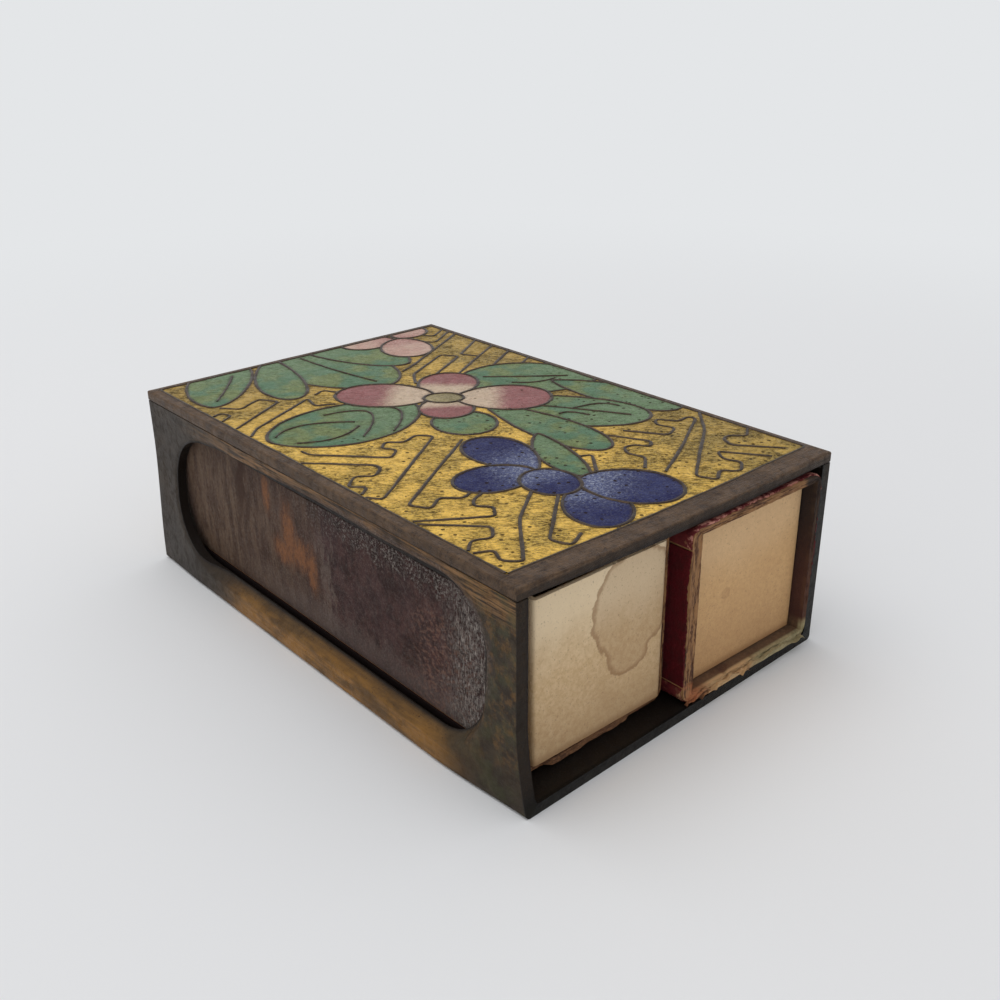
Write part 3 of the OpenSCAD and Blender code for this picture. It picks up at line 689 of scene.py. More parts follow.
# %% Sizes of the two boxes
BOX_L, BOX_H, BOX_Z, BOX_R = 55.5, 16.9, 1.15, 1.2
PAPER, BOARD, LAP, TRAY_BOARD, AIR = 0.15, 0.6, 1.2, 0.5, 0.15
BOXES = {
    "left": dict(x=1.3, w=17.2, y=1.8, tray_y=1.3, torn=0.42),
    "right": dict(x=18.7, w=18.0, y=-0.3, tray_y=1.0, torn=0.0),
}
STRIP_INSET = 1.7
STRIP_LOW, STRIP_HIGH = BOX_Z + STRIP_INSET, BOX_Z + BOX_H - STRIP_INSET


def rounded_loop(low, high, r, step=0.4, corner_steps=6):
    """A rounded rectangle in x and z, clockwise from the middle of its left side; corners are quarter turns."""
    (x0, z0), (x1, z1) = low, high
    turns = np.linspace(0, math.pi / 2, corner_steps + 1)
    line = [np.array([[x0, (z0 + z1) / 2]])]
    corners = [(x0 + r, z1 - r), (x1 - r, z1 - r), (x1 - r, z0 + r), (x0 + r, z0 + r)]
    for k, (cx, cz) in enumerate(corners):
        a = math.pi - k * math.pi / 2 - turns
        line.append(np.stack([cx + r * np.cos(a), cz + r * np.sin(a)], 1))
    line = np.concatenate(line + [line[0]])
    full = [line[:1]]
    for a, b in zip(line[:-1], line[1:]):
        n = max(int(np.hypot(*(b - a)) / step), 1)
        full.append(a + (b - a) * np.linspace(0, 1, n + 1)[1:, None])
    return np.concatenate(full)[:-1]


# %% [markdown]
# Cut board is never a clean edge on an old box: the plies split and fray. The cover's front edge is
# therefore a surface of its own. The section runs back to front along the outside, then through the
# board's thickness in small steps, then to the back along the inside. The steps of one ply share a wobble
# that pushes them in or out, with a little more at random, so the plies stand apart as they do when paper
# tears.

# %% Cover boards with a frayed front edge
PLY_OF_STEP = [0, 0, 1, 1, 1, 2, 2, 2, 3, 3, 3]


def cover_board(side, seed):
    """A sleeve: rows go round its section, and columns go along it, round the front edge and back inside."""
    b = BOXES[side]
    x0, x1, z0, z1 = b["x"] + PAPER, b["x"] + b["w"] - PAPER, BOX_Z + PAPER, BOX_Z + BOX_H - PAPER
    out = rounded_loop((x0, z0), (x1, z1), BOX_R - PAPER, 0.25)
    hollow = rounded_loop((x0 + LAP, z0 + BOARD), (x1 - BOARD, z1 - BOARD), 0.35, 0.25)
    inner = np.clip(out, hollow.min(0), hollow.max(0))
    n = len(out)
    thick = np.linspace(0, 1, 11)
    around = np.linspace(0, 1, n, endpoint=False)
    plies = np.stack([wobble(around, seed + k, (3, 8, 17, 31)) for k in range(4)], 1)
    rag = 0.15 * plies[:, PLY_OF_STEP] + 0.05 * np.random.default_rng(seed).standard_normal((n, len(thick)))
    rag[:, [0, -1]] *= 0.3
    torn_off = b["torn"] * (out[:, 1] < BOX_Z + 1) * smooth(out[:, 0], 4.2, 5) * smooth(out[:, 0], 14.4, 13.4)
    edge_y = b["y"] + np.abs(rag) + 0.03 - (torn_off * (1 + 0.5 * plies[:, 0]))[:, None]
    straight_y = b["y"] + 0.05 + np.linspace(1, 0, 40) ** 1.5 * (BOX_L - 0.05)
    rows = [np.insert(out, 1, y, axis=1) for y in straight_y[:-1]]
    rows += [np.insert(out + t * (inner - out), 1, edge_y[:, k], axis=1) for k, t in enumerate(thick)]
    rows += [np.insert(inner, 1, y, axis=1) for y in straight_y[::-1][1:]]
    points = np.stack(rows, 1).reshape(-1, 3)
    quads = outward(points, grid_quads(n, len(rows), True, True))
    sleeve = make_piece(f"{side}_cover_sleeve", (points, quads), f"{side}_cover",
                        [f"{side}_cover_board"], sharp=35)
    flat = np.zeros(len(straight_y) - 1)
    give_values(sleeve, depth=np.tile(np.concatenate([flat, thick, flat + 1]), n), from_front=points[:, 1] - b["y"])
    return sleeve


covers = {side: cover_board(side, 40 + 20 * k) for k, side in enumerate(BOXES)}


# %% Maroon paper, torn at the front, and the striking strips
def cover_skin(side, name, node, spans, seed, tear, bulge=0.0):
    """Thin skins on the cover's section between pairs of places round it; the front edge is torn back unevenly."""
    b = BOXES[side]
    out = rounded_loop((b["x"], BOX_Z), (b["x"] + b["w"], BOX_Z + BOX_H), BOX_R, 0.25)
    core = np.clip(out, out.min(0) + BOX_R, out.max(0) - BOX_R)
    inner = core + (out - core) * (BOX_R - PAPER - 0.004) / BOX_R
    middle = b["x"] + b["w"] / 2
    t = np.linspace(0, 1, 70) ** 1.3
    solids = []
    for k, chosen in enumerate(spans(out)):
        around = np.linspace(0, 1, len(chosen))
        ragged = 0.5 + 0.5 * wobble(around, seed + k, (1, 2, 5, 11)) + 0.25 * wobble(around, seed + k + 50, (23, 37))
        torn = np.clip(tear * ragged, 0.04, None)[:, None]
        y = b["y"] + torn + t[None, :] * (BOX_L - torn)
        x, z = out[chosen].T
        outward_x = np.sign(x - middle)
        swell = bulge * np.sin(math.pi * np.clip((z - STRIP_LOW) / (STRIP_HIGH - STRIP_LOW), 0, 1))
        z = z[:, None]
        x_face = (x + outward_x * swell)[:, None] + outward_x[:, None] * 0.012 * ripple(y, z, seed + 5, 4)
        top, low = grid_points(x_face, y, z), grid_points(inner[chosen][:, :1], y, inner[chosen][:, 1:])
        quads = grid_quads(*y.shape)
        p = top[quads]
        normal = np.cross(p[:, 2] - p[:, 0], p[:, 3] - p[:, 1])
        away = p.mean(1) - [middle, 0, BOX_Z + BOX_H / 2]
        if (normal[:, [0, 2]] * away[:, [0, 2]]).sum() < 0:
            quads = quads[:, ::-1]
        solids.append(close_sheet(top, low, quads))
    skin = make_piece(name, join(solids), f"{side}_cover", [node], sharp=50)
    give_values(skin, from_front=np.concatenate([points for points, _ in solids])[:, 1] - b["y"])
    return skin


PAST_EDGE, SHORT_OF_EDGE = 0.13, 0.05


def paper_spans(out):
    """The places round the section above the strips and below them, a little past the strips' edges."""
    z = out[:, 1]
    return [np.flatnonzero(z >= STRIP_HIGH - PAST_EDGE), np.flatnonzero(z <= STRIP_LOW + PAST_EDGE)]


def strip_spans(out):
    """The places on the left side and on the right side between the strips' edges."""
    x, z = out.T
    between = (z > STRIP_LOW + SHORT_OF_EDGE) & (z < STRIP_HIGH - SHORT_OF_EDGE)
    left, right = np.flatnonzero(between & (x < x.min() + 1)), np.flatnonzero(between & (x > x.max() - 1))
    split = np.flatnonzero(np.diff(left) > 1)
    left = np.concatenate([left[split[0] + 1:], left[:split[0] + 1]]) if len(split) else left
    return [left, right]


papers, strips = {}, {}
for k, side in enumerate(BOXES):
    papers[side] = cover_skin(side, f"{side}_maroon_paper", f"{side}_cover_paper", paper_spans,
                              60 + 9 * k, 0.5)
    strips[side] = cover_skin(side, f"{side}_striking_skin", f"{side}_striking_strips",
                              strip_spans, 80 + 9 * k, 0.35, bulge=0.1 if side == "left" else 0.05)

# %% [markdown]
# On the right box the bottom edge has split, and thin flakes of board stand up in front of the tray. Each
# flake is a strip along x whose height follows a wobble and falls to nothing at both ends. It curls
# forward and is closed to a sheet like the others. It ends below the tray's underside, so the tray still
# slides out over it.

# %% Torn flakes on the right cover
def flake(x0, x1, y0, z0, tall, lean, seed, depth):
    """A thin leaning sheet along x with a torn upper edge: height and curl are wobbles along it."""
    x = np.linspace(x0, x1, 150)[:, None]
    up = np.linspace(0, 1, 7)[None, :]
    t = (x - x0) / (x1 - x0)
    ends = smooth(t, 0, 0.06) * smooth(1 - t, 0, 0.06)
    torn = np.clip(0.62 + 0.4 * wobble(t, seed, (1, 2, 4)) + 0.08 * wobble(t, seed + 1, (5, 9, 14)), 0.1, 1)
    curl = lean * up**2 * (0.6 + 0.45 * wobble(t, seed + 2, (2, 4, 7)))
    z = z0 + tall * ends * torn * up
    front = grid_points(x, y0 - curl - 0.03 * ripple(x, 3 * up, seed, 2), z)
    return close_sheet(front, front + [0, depth, 0], facing(front, grid_quads(*z.shape), (0, -1, 0)))


FLAKES = [(21.0, 27.8, -0.42, 1.1, 0.84, 0.5, 7, 0.3), (26.6, 36.2, -0.38, 1.1, 0.86, 0.45, 17, 0.34),
          (19.2, 24.0, -0.34, 1.12, 0.7, 0.3, 27, 0.2)]
torn_flakes = make_piece("right_torn_flakes", join([flake(*sizes) for sizes in FLAKES]), "right_cover",
                         sharp=50)

# %% [markdown]
# A tray is a frame of thin board round a floor. The frame is one closed ring: round the four sides in one
# direction, and up the outside, over the top edge, down the inside and back under in the other. Thin
# board bows between its corners, so the sides swing in and out by a tenth of a millimetre.

# %% Trays
TRAY_Z, TRAY_H, TRAY_L = 2.05, 15.1, 54.2
TOP_EDGE = ((0.15, 0.04), (0.4, 0.0), (0.6, 0.0), (0.85, 0.05))


def tray_size(side):
    """Left edge, width and front edge of a tray: the cover's inside less the air on each side."""
    b = BOXES[side]
    return b["x"] + PAPER + LAP + AIR, b["w"] - 2 * PAPER - LAP - BOARD - 2 * AIR, b["tray_y"]


def tray(side, seed):
    """The frame as a ring with a rounded top edge, and the floor as a flat solid inside it."""
    x, w, y = tray_size(side)
    low, high = np.array([x, y]), np.array([x + w, y + TRAY_L])
    out = rounded_loop(low, high, 0.4, 0.5, 4)
    inner = np.clip(out, low + TRAY_BOARD, high - TRAY_BOARD)
    n = len(out)
    up = np.linspace(0, 1, 14)
    uneven = 0.05 * wobble(np.linspace(0, 1, n, endpoint=False), seed, (5, 11, 23))
    bow = 0.06 * ripple(*out.T, seed + 3, 9)
    from_middle = out - (low + high) / 2
    inward = np.where(np.abs(from_middle) > (high - low) / 2 - 0.05, -np.sign(from_middle), 0)
    foot, brim = TRAY_Z + 0.05, TRAY_Z + TRAY_H - 0.05
    rows = []
    for t in up:
        bowed = out + inward * (0.02 + np.abs(bow * math.sin(math.pi * t)))[:, None]
        rows.append(np.column_stack([bowed, foot + t * (TRAY_H - 0.15) + uneven * t]))
    rows += [np.column_stack([out + t * (inner - out), brim - drop + uneven]) for t, drop in TOP_EDGE]
    rows += [np.column_stack([inner, foot + t * (TRAY_H - 0.2) + uneven * t]) for t in up[::-1]]
    points = np.stack(rows, 1).reshape(-1, 3)
    quads = outward(points, grid_quads(n, len(rows), True, True))
    ring = make_piece(f"{side}_tray_board", (points, quads), f"{side}_tray",
                      [f"{side}_tray_frame"], sharp=45)
    steps = (12, 40)
    lines = [np.linspace(a + 0.01, b - 0.01, k) for a, b, k in zip(low + TRAY_BOARD, high - TRAY_BOARD, steps)]
    fx, fy = np.meshgrid(*lines, indexing="ij")
    upper = grid_points(fx, fy, TRAY_Z + 0.47 + 0.03 * ripple(fx, fy, seed + 9, 12))
    lower = grid_points(fx, fy, TRAY_Z)
    base = make_piece(f"{side}_tray_base", close_sheet(upper, lower, facing(upper, grid_quads(*steps), (0, 0, 1))),
                      f"{side}_tray", [f"{side}_tray_floor"])
    return ring, base


trays = {side: tray(side, 120 + 30 * k) for k, side in enumerate(BOXES)}

# %% [markdown]
# Match splints are split from aspen, so each is slightly out of square and twisted, and each head is a
# blob from dipping. All sticks of a tray share one rule: a square section carried along y and turned a
# little on the way. A head's blob is a profile of radii spun round the stick. The random turn and size
# are drawn once for each match.

# %% Sticks and heads
STICK, SPLINT_L, HEAD_R, HEAD_L = 1.7, 49.7, 1.3, 2.4
ACROSS, LAYERS, PITCH, PLAY, MATCH_START = 5, 3, 2.75, 0.08, 1.75
edge_points = np.array([(-0.95, -0.95), (-0.86, -1), (0.86, -1)]) * STICK / 2
SQUARE = np.concatenate([edge_points @ [(c, s), (-s, c)] for c, s in ((1, 0), (0, 1), (-1, 0), (0, -1))])
ALONG_HEAD = np.array([0.0, 0.06, 0.2, 0.42, 0.72, 1.05, 1.5, 1.95, HEAD_L])
ROUND_HEAD = np.arange(14) * 2 * math.pi / 14


def match_places(side):
    """The middle of every match in a tray, and where the matches start."""
    x, w, y = tray_size(side)
    inset = TRAY_BOARD + PLAY + HEAD_R
    xs = x + inset + np.linspace(0, w - 2 * inset, ACROSS)
    zs = TRAY_Z + TRAY_BOARD + PLAY + HEAD_R + PITCH * np.arange(LAYERS)
    return np.stack(np.meshgrid(xs, zs, indexing="ij"), -1).reshape(-1, 2), y + TRAY_BOARD + MATCH_START


def matches(side, seed):
    """Sticks and heads of one tray as two pieces, each a set of equal solids."""
    places, start = match_places(side)
    rng = np.random.default_rng(seed)
    sticks, heads = [], []
    stick_y = np.repeat(np.linspace(start + HEAD_R, start + SPLINT_L, 9)[:, None], len(SQUARE), 1)
    head_y = np.repeat(start + ALONG_HEAD[:, None], len(ROUND_HEAD), 1)
    blunt = np.sqrt(np.clip(1 - (1 - np.clip(ALONG_HEAD / HEAD_R, 0, 1)) ** 2, 0.0009, 1))
    blunt *= 1 - 0.12 * np.clip((ALONG_HEAD - HEAD_R) / (HEAD_L - HEAD_R), 0, 1)
    for x, z in places:
        twist = rng.uniform(-0.05, 0.05) + rng.uniform(-0.03, 0.03) * np.linspace(-1, 1, len(stick_y))
        c, s = np.cos(twist)[:, None], np.sin(twist)[:, None]
        u, v = SQUARE.T
        sticks.append(tube(np.stack([x + c * u - s * v, stick_y, z + s * u + c * v], -1)))
        r = HEAD_R * rng.uniform(0.93, 1.0)
        lump = 1 + 0.035 * np.sin(2 * ROUND_HEAD + rng.uniform(0, 6))
        lump += 0.02 * np.sin(5 * ROUND_HEAD + rng.uniform(0, 6))
        ball = 0.97 * r * blunt[:, None] * lump
        heads.append(tube(np.stack([x + ball * np.cos(ROUND_HEAD), head_y, z + ball * np.sin(ROUND_HEAD)], -1)))
    body = f"{side}_tray"
    return (make_piece(f"{side}_splints", join(sticks), body, [f"{side}_matchsticks"], sharp=50),
            make_piece(f"{side}_heads", join(heads), body, [f"{side}_match_heads"], sharp=60))


match_pieces = {side: matches(side, 200 + k) for k, side in enumerate(BOXES)}

# %% [markdown]
# ## Finishes
#
# A finish is built from a few shared parts: the place in case millimetres, blotches of dirt, pits, brush
# lines and fibres. Each is a node group. All but the place give masks between 0 and 1, and each material
# mixes its own colours with those masks. Colours are written as they look on a screen and turned into the
# linear values that the shader wants.

# %% A small helper for node trees
def tone(r, g, b):
    """A screen colour of 0 to 255 as linear red, green, blue and alpha."""
    c = np.array([r, g, b]) / 255
    linear = np.where(c <= 0.04045, c / 12.92, ((c + 0.055) / 1.055) ** 2.4)
    return (*linear.tolist(), 1.0)


class Wiring:
    """Adds nodes to a tree. Each call links or sets its inputs and gives back the socket it made."""

    def __init__(self, tree):
        self.tree = tree

    def feed(self, value, socket):
        """Link a socket, or write a constant."""
        if isinstance(value, bpy.types.NodeSocket):
            self.tree.links.new(value, socket)
        elif value is not None:
            socket.default_value = value

    def node(self, kind, inputs=(), out=0, **settings):
        """A node of a kind, its settings and its inputs by name or number; gives one output."""
        made = self.tree.nodes.new(kind)
        for key, value in settings.items():
            setattr(made, key, value)
        for key, value in dict(inputs).items():
            self.feed(value, made.inputs[key])
        return made.outputs[out]

    def math(self, how, a, b=0.0, clamp=False):
        """A sum on one or two values, by the name of its kind."""
        return self.node("ShaderNodeMath", {0: a, 1: b}, operation=how, use_clamp=clamp)

    def both(self, a, b):
        """a x b: where two masks hold, or one mask made weaker."""
        return self.math("MULTIPLY", a, b)

    def plus(self, a, b, clamp=False):
        """a + b."""
        return self.math("ADD", a, b, clamp)

    def less(self, a, b):
        """a - b."""
        return self.math("SUBTRACT", a, b)

    def most(self, a, b):
        """The larger of a and b: where either mask holds."""
        return self.math("MAXIMUM", a, b)

    def noise(self, at, scale, detail=4.0, rough=0.55, bend=0.0):
        """Cloudy noise, scale in waves to the millimetre; three scales stretch it along the axes."""
        if isinstance(scale, tuple):
            at, scale = self.stretched(at, scale), 1.0
        return self.node("ShaderNodeTexNoise", {"Vector": at, "Scale": scale, "Detail": detail, "Roughness": rough,
                                                "Distortion": bend})

    def cells(self, at, scale, out="Distance"):
        """Cells round scattered points: distance from the nearest point, or a colour for each cell."""
        return self.node("ShaderNodeTexVoronoi", {"Vector": at, "Scale": scale}, out=out)

    def span(self, value, low, high, to_low=0.0, to_high=1.0):
        """A soft step from to_low at low to to_high at high."""
        return self.node("ShaderNodeMapRange", {"Value": value, "From Min": low, "From Max": high, "To Min": to_low,
                                                "To Max": to_high}, interpolation_type="SMOOTHSTEP")

    def mix(self, share, a, b):
        """a where share is 0, b where it is 1."""
        return self.node("ShaderNodeMix", {0: share, 6: a, 7: b}, out=2, data_type="RGBA")

    def lay(self, colour, new, mask, strength):
        """A new colour over a colour, in a share of mask x strength."""
        return self.mix(self.both(mask, strength), colour, new)

    def bump(self, height, strength, distance):
        """A normal from a height, distance in metres."""
        return self.node("ShaderNodeBump", {"Height": height, "Strength": strength, "Distance": distance})

    def axis(self, at, name):
        """The X, Y or Z of a place."""
        return self.node("ShaderNodeSeparateXYZ", {0: at}, out=name)

    def stretched(self, at, by):
        """A place with each axis multiplied by its own number."""
        return self.node("ShaderNodeVectorMath", {0: at, 1: by}, operation="MULTIPLY")

    def attribute(self, name):
        """A value that the mesh holds for each point."""
        return self.node("ShaderNodeAttribute", attribute_name=name, out="Fac")


def shared(name, results, build):
    """A node group whose outputs build(wiring) gives in order, as colours or values."""
    tree = bpy.data.node_groups.new(name, "ShaderNodeTree")
    for label, kind in results:
        tree.interface.new_socket(name=label, in_out="OUTPUT", socket_type="NodeSocket" + kind)
    end = tree.nodes.new("NodeGroupOutput")
    for socket, value in zip(end.inputs, build(Wiring(tree))):
        tree.links.new(value, socket)
    return tree


def use(wiring, tree, out=0):
    """An output of a shared group inside another tree."""
    made = wiring.tree.nodes.new("ShaderNodeGroup")
    made.node_tree = tree
    return made.outputs[out]


def finish(name, build, pieces, **constants):
    """A material on pieces: build gives {shader input: value}, and constants go straight onto the shader."""
    look = bpy.data.materials.new(name)
    look.use_nodes = True
    shader = look.node_tree.nodes["Principled BSDF"]
    wiring = Wiring(look.node_tree)
    for key, value in {**constants, **build(wiring)}.items():
        wiring.feed(value, shader.inputs[key.replace("_", " ")])
    for piece in pieces:
        piece.data.materials.append(look)
    return look


# %% [markdown]
# The shared groups come first. `case_place` turns a piece's own coordinates into the case's millimetres,
# so a stain can be put at a place on the case and scales can be read in millimetres.

# %% Shared masks
def make_case_place(w):
    """The place of a point in the case, in millimetres."""
    at = w.node("ShaderNodeTexCoord", out="Object")
    return [w.node("ShaderNodeVectorMath", {0: at, 1: (1000, 1000, 1000), 2: tuple(-CORNER)},
                   operation="MULTIPLY_ADD")]


case_place = shared("case place", [("Place", "Vector")], make_case_place)


def make_grime(w):
    """Three masks of dirt: broad clouds, fine blotches and single specks."""
    at = use(w, case_place)
    broad = w.span(w.noise(at, 0.16, 5, 0.6, 0.4), 0.42, 0.66)
    fine = w.span(w.noise(at, 1.1, 6, 0.65), 0.4, 0.68)
    specks = w.span(w.noise(at, 5.5, 3, 0.5), 0.6, 0.72)
    return [broad, fine, specks]


grime = shared("grime", [("Broad", "Float"), ("Fine", "Float"), ("Specks", "Float")], make_grime)


def make_pits(w):
    """Round pits: the middle of some of the cells round scattered points, in two sizes."""
    at = use(w, case_place)
    size = w.cells(at, 1.3, out="Color")
    keep = w.math("GREATER_THAN", w.axis(size, "X"), 0.55)
    pit = w.both(w.span(w.cells(at, 1.3), 0.18, 0.27, 1, 0), keep)
    small = w.both(w.span(w.cells(at, 3.6), 0.14, 0.32, 1, 0),
                   w.math("GREATER_THAN", w.axis(w.cells(at, 3.6, out="Color"), "Y"), 0.72))
    return [w.most(pit, w.both(small, 0.8))]


pits = shared("pits", [("Pits", "Float")], make_pits)


def make_lengthways(w):
    """Lines along the case: noise that changes quickly across and slowly along."""
    at = use(w, case_place)
    coarse = w.noise(at, (4.2, 0.24, 4.2), 5, 0.7)
    fine = w.noise(at, (16, 0.7, 16), 3, 0.6)
    return [w.span(coarse, 0.4, 0.6), w.span(fine, 0.38, 0.62)]


lengthways = shared("lengthways lines", [("Coarse", "Float"), ("Fine", "Float")], make_lengthways)


def make_hairlines(w):
    """Short cracks that run slanting over the enamel, in patches."""
    at = use(w, case_place)
    turned = w.node("ShaderNodeVectorRotate", {"Vector": at, "Angle": 0.72}, rotation_type="Z_AXIS")
    dashes = w.noise(turned, (1.3, 3.4, 1.0), 3, 0.7, 0.1)
    thin = w.noise(turned, (3.0, 7.0, 1.0), 2, 0.7, 0.1)
    patches = w.span(w.noise(at, 0.3, 3, 0.6), 0.36, 0.58, 0.55, 1.0)
    return [w.both(w.most(w.span(dashes, 0.52, 0.6), w.both(w.span(thin, 0.52, 0.58), 0.8)), patches)]


hairlines = shared("hairlines", [("Lines", "Float")], make_hairlines)


def make_fibres(w):
    """Blotches of felted fibres, and the felt itself."""
    at = use(w, case_place)
    coarse = w.noise(w.stretched(at, (1.2, 1.2, 1.2)), 2.2, 5, 0.7, 0.6)
    felt = w.noise(at, (9, 9, 3.5), 3, 0.6, 1.2)
    return [w.span(coarse, 0.3, 0.7), felt]


fibres = shared("fibres", [("Mottle", "Float"), ("Felt", "Float")], make_fibres)
print("shared groups:", [g.name for g in bpy.data.node_groups])

# %% [markdown]
# Old brass is a brown skin of oxide over metal. The skin is thin where hands and the table rub it, so the
# golden metal shows along the bottom fold and round the window's front. The inside and the front edge are
# painted dark as shade, and round the window runs a dark line of grime and painted shade. The rub also
# polishes, so roughness falls where the metal shows.

# %% Brass, copper, wire and solder
def brass(w):
    """Brown skin, worn to metal at the foot, rubbed round the window; painted shade inside, on the front edge and
    round the window.
    """
    at = use(w, case_place)
    x, y, z = (w.axis(at, n) for n in "XYZ")
    broad, fine, specks = (use(w, grime, k) for k in range(3))
    coarse_line, fine_line = (use(w, lengthways, k) for k in range(2))
    edge = w.attribute("rim")
    skin = w.mix(broad, tone(54, 44, 33), tone(76, 61, 42))
    skin = w.lay(skin, tone(44, 35, 26), fine, 0.5)
    skin = w.lay(skin, tone(46, 39, 33), w.span(y, 30, 52), 0.6)
    under_plate = w.both(w.span(z, 15.4, 17.4), w.span(y, 54, 36))
    skin = w.lay(skin, w.mix(coarse_line, tone(44, 30, 19), tone(150, 112, 72)), under_plate, 0.75)
    foot = w.both(w.span(z, 3.5, 1.6), w.both(w.span(y, 4, 12), w.span(y, 48, 38)))
    patchy = w.span(w.noise(at, (0.4, 0.16, 0.5), 4, 0.6), 0.38, 0.6, 0.35, 1.0)
    worn = w.both(w.both(foot, patchy), w.plus(w.both(coarse_line, 0.25), 0.7, clamp=True))
    near_front = w.both(w.span(y, 16, 2), w.span(z, 2, 6))
    bare = w.span(w.noise(at, 0.8, 6, 0.75), 0.46, 0.64)
    worn = w.most(worn, w.both(w.both(near_front, bare), 0.26))
    colour = w.mix(worn, skin, tone(164, 118, 58))
    green = w.both(w.span(y, 10, 1), w.span(w.noise(at, 0.5, 4), 0.42, 0.66))
    colour = w.lay(colour, tone(72, 74, 48), green, 0.45)
    colour = w.lay(colour, tone(36, 28, 22), specks, 0.6)
    reach = w.plus(edge, w.both(w.noise(at, 0.7, 4, 0.65), -2.2))
    rubbed = w.both(w.both(w.span(reach, 0.9, -0.6), w.span(y, 34, 24)), w.span(z, 7, 11))
    grit = w.span(w.noise(at, 5.5, 5, 0.8), 0.5, 0.6)
    colour = w.lay(colour, tone(60, 43, 38), rubbed, 0.8)
    colour = w.lay(colour, tone(162, 148, 136), w.both(rubbed, grit), 0.8)
    # a dark line round the window's edge, part grime and part painted shade of the gap behind it, fainter where
    # rubbed
    window_edge_shade_and_grime = w.both(w.span(edge, 0.34, 0.02), w.less(1.0, w.both(rubbed, 0.8)))
    colour = w.lay(colour, tone(26, 20, 16), window_edge_shade_and_grime, 0.92)
    # painted shade: the whole inside of the trough is coloured nearly black
    inside = w.both(w.both(w.span(x, 0.7, 1.0), w.span(x, 37.3, 37.0)), w.span(z, 0.4, 0.8))
    colour = w.lay(colour, tone(30, 25, 22), inside, 0.95)
    # painted shade: the front edge face of walls and floor is coloured dark brown, nearly black at the lower left
    # corner
    lip = w.span(w.attribute("from_front"), 0.2, 0.04)
    left_corner = w.both(w.span(x, 6, 1), w.span(z, 1, 3))
    colour = w.lay(colour, w.mix(left_corner, tone(14, 12, 10), tone(32, 23, 16)), lip, 0.9)
    rough = w.less(w.plus(w.both(fine, 0.16), 0.42), w.both(worn, 0.08))
    metal = w.plus(w.both(worn, 0.35), 0.3, clamp=True)
    lines = w.plus(w.both(coarse_line, w.plus(w.both(under_plate, 0.9), 0.1)), w.both(fine_line, 0.35))
    height = w.less(w.plus(w.both(lines, 0.7), w.both(fine, 0.9)), w.both(specks, 1.2))
    height = w.plus(height, w.both(w.both(rubbed, grit), 1.2))
    return {"Base Color": colour, "Roughness": rough, "Metallic": metal, "Normal": w.bump(height, 0.5, 0.00005)}


def copper(w):
    """Brown copper with brushed lines, darker on the drop edge and at the foot."""
    at = use(w, case_place)
    y, z = (w.axis(at, n) for n in "YZ")
    broad, fine, specks = (use(w, grime, k) for k in range(3))
    side_lines = use(w, lengthways)
    front_lines = w.span(w.noise(at, (0.7, 6, 6), 4, 0.65), 0.4, 0.64)
    lines = w.mix(w.span(y, 2.6, 1.8), side_lines, front_lines)
    colour = w.mix(w.span(w.noise(at, 0.9, 5, 0.7), 0.36, 0.62), tone(56, 42, 32), tone(92, 72, 54))
    colour = w.lay(colour, tone(120, 94, 68), w.span(w.noise(at, 3.2, 5, 0.8), 0.48, 0.6), 0.4)
    colour = w.lay(colour, tone(118, 94, 70), lines, 0.28)
    colour = w.lay(colour, tone(54, 42, 34), broad, 0.45)
    colour = w.lay(colour, tone(30, 24, 20), specks, 0.75)
    drop = w.both(w.span(z, 19.3, 19.0), w.span(y, 0.12, 0.02))
    colour = w.lay(colour, tone(38, 31, 25), drop, 0.7)
    foot = w.span(z, 18.75, 18.55)
    colour = w.lay(colour, tone(30, 24, 20), w.both(foot, w.span(y, 50, 20)), 0.7)
    rough = w.plus(w.both(fine, 0.2), 0.42)
    height = w.less(w.plus(lines, w.noise(at, 5, 4, 0.7)), w.both(specks, 1.4))
    return {"Base Color": colour, "Roughness": rough, "Normal": w.bump(height, 0.6, 0.00006)}


def wire_metal(w):
    """Two browns in blotches."""
    at = use(w, case_place)
    fine = use(w, grime, 1)
    tarnish = w.span(w.noise(at, 2.4, 5, 0.7), 0.35, 0.65)
    colour = w.mix(tarnish, tone(40, 31, 23), tone(72, 55, 38))
    return {"Base Color": colour, "Roughness": w.plus(w.both(fine, 0.2), 0.3),
            "Normal": w.bump(w.noise(at, 9, 3), 0.4, 0.00004)}


def old_solder(w):
    """Two greys in blotches."""
    at = use(w, case_place)
    fine = use(w, grime, 1)
    colour = w.mix(fine, tone(52, 49, 45), tone(88, 84, 78))
    return {"Base Color": colour, "Normal": w.bump(w.noise(at, 3, 5), 0.5, 0.00006)}


finish("aged brass", brass, [case_shell], Specular_IOR_Level=0.2)
finish("dark copper", copper, [plate_piece], Metallic=0.35, Specular_IOR_Level=0.25)
finish("tarnished wire", wire_metal, [fret_piece, petal_piece, leaf_piece], Metallic=0.6)
finish("old solder", old_solder, [solder_piece], Metallic=0.5, Roughness=0.5)

# %% [markdown]
# Enamel is coloured glass, so under its own colour lie darker pools where it is thick and pits where gas
# broke out in the firing. Each petal is two glasses laid side by side and fired together: the change of
# colour along the petal is the shape's own `along` value, broken up by noise because the grains mix.

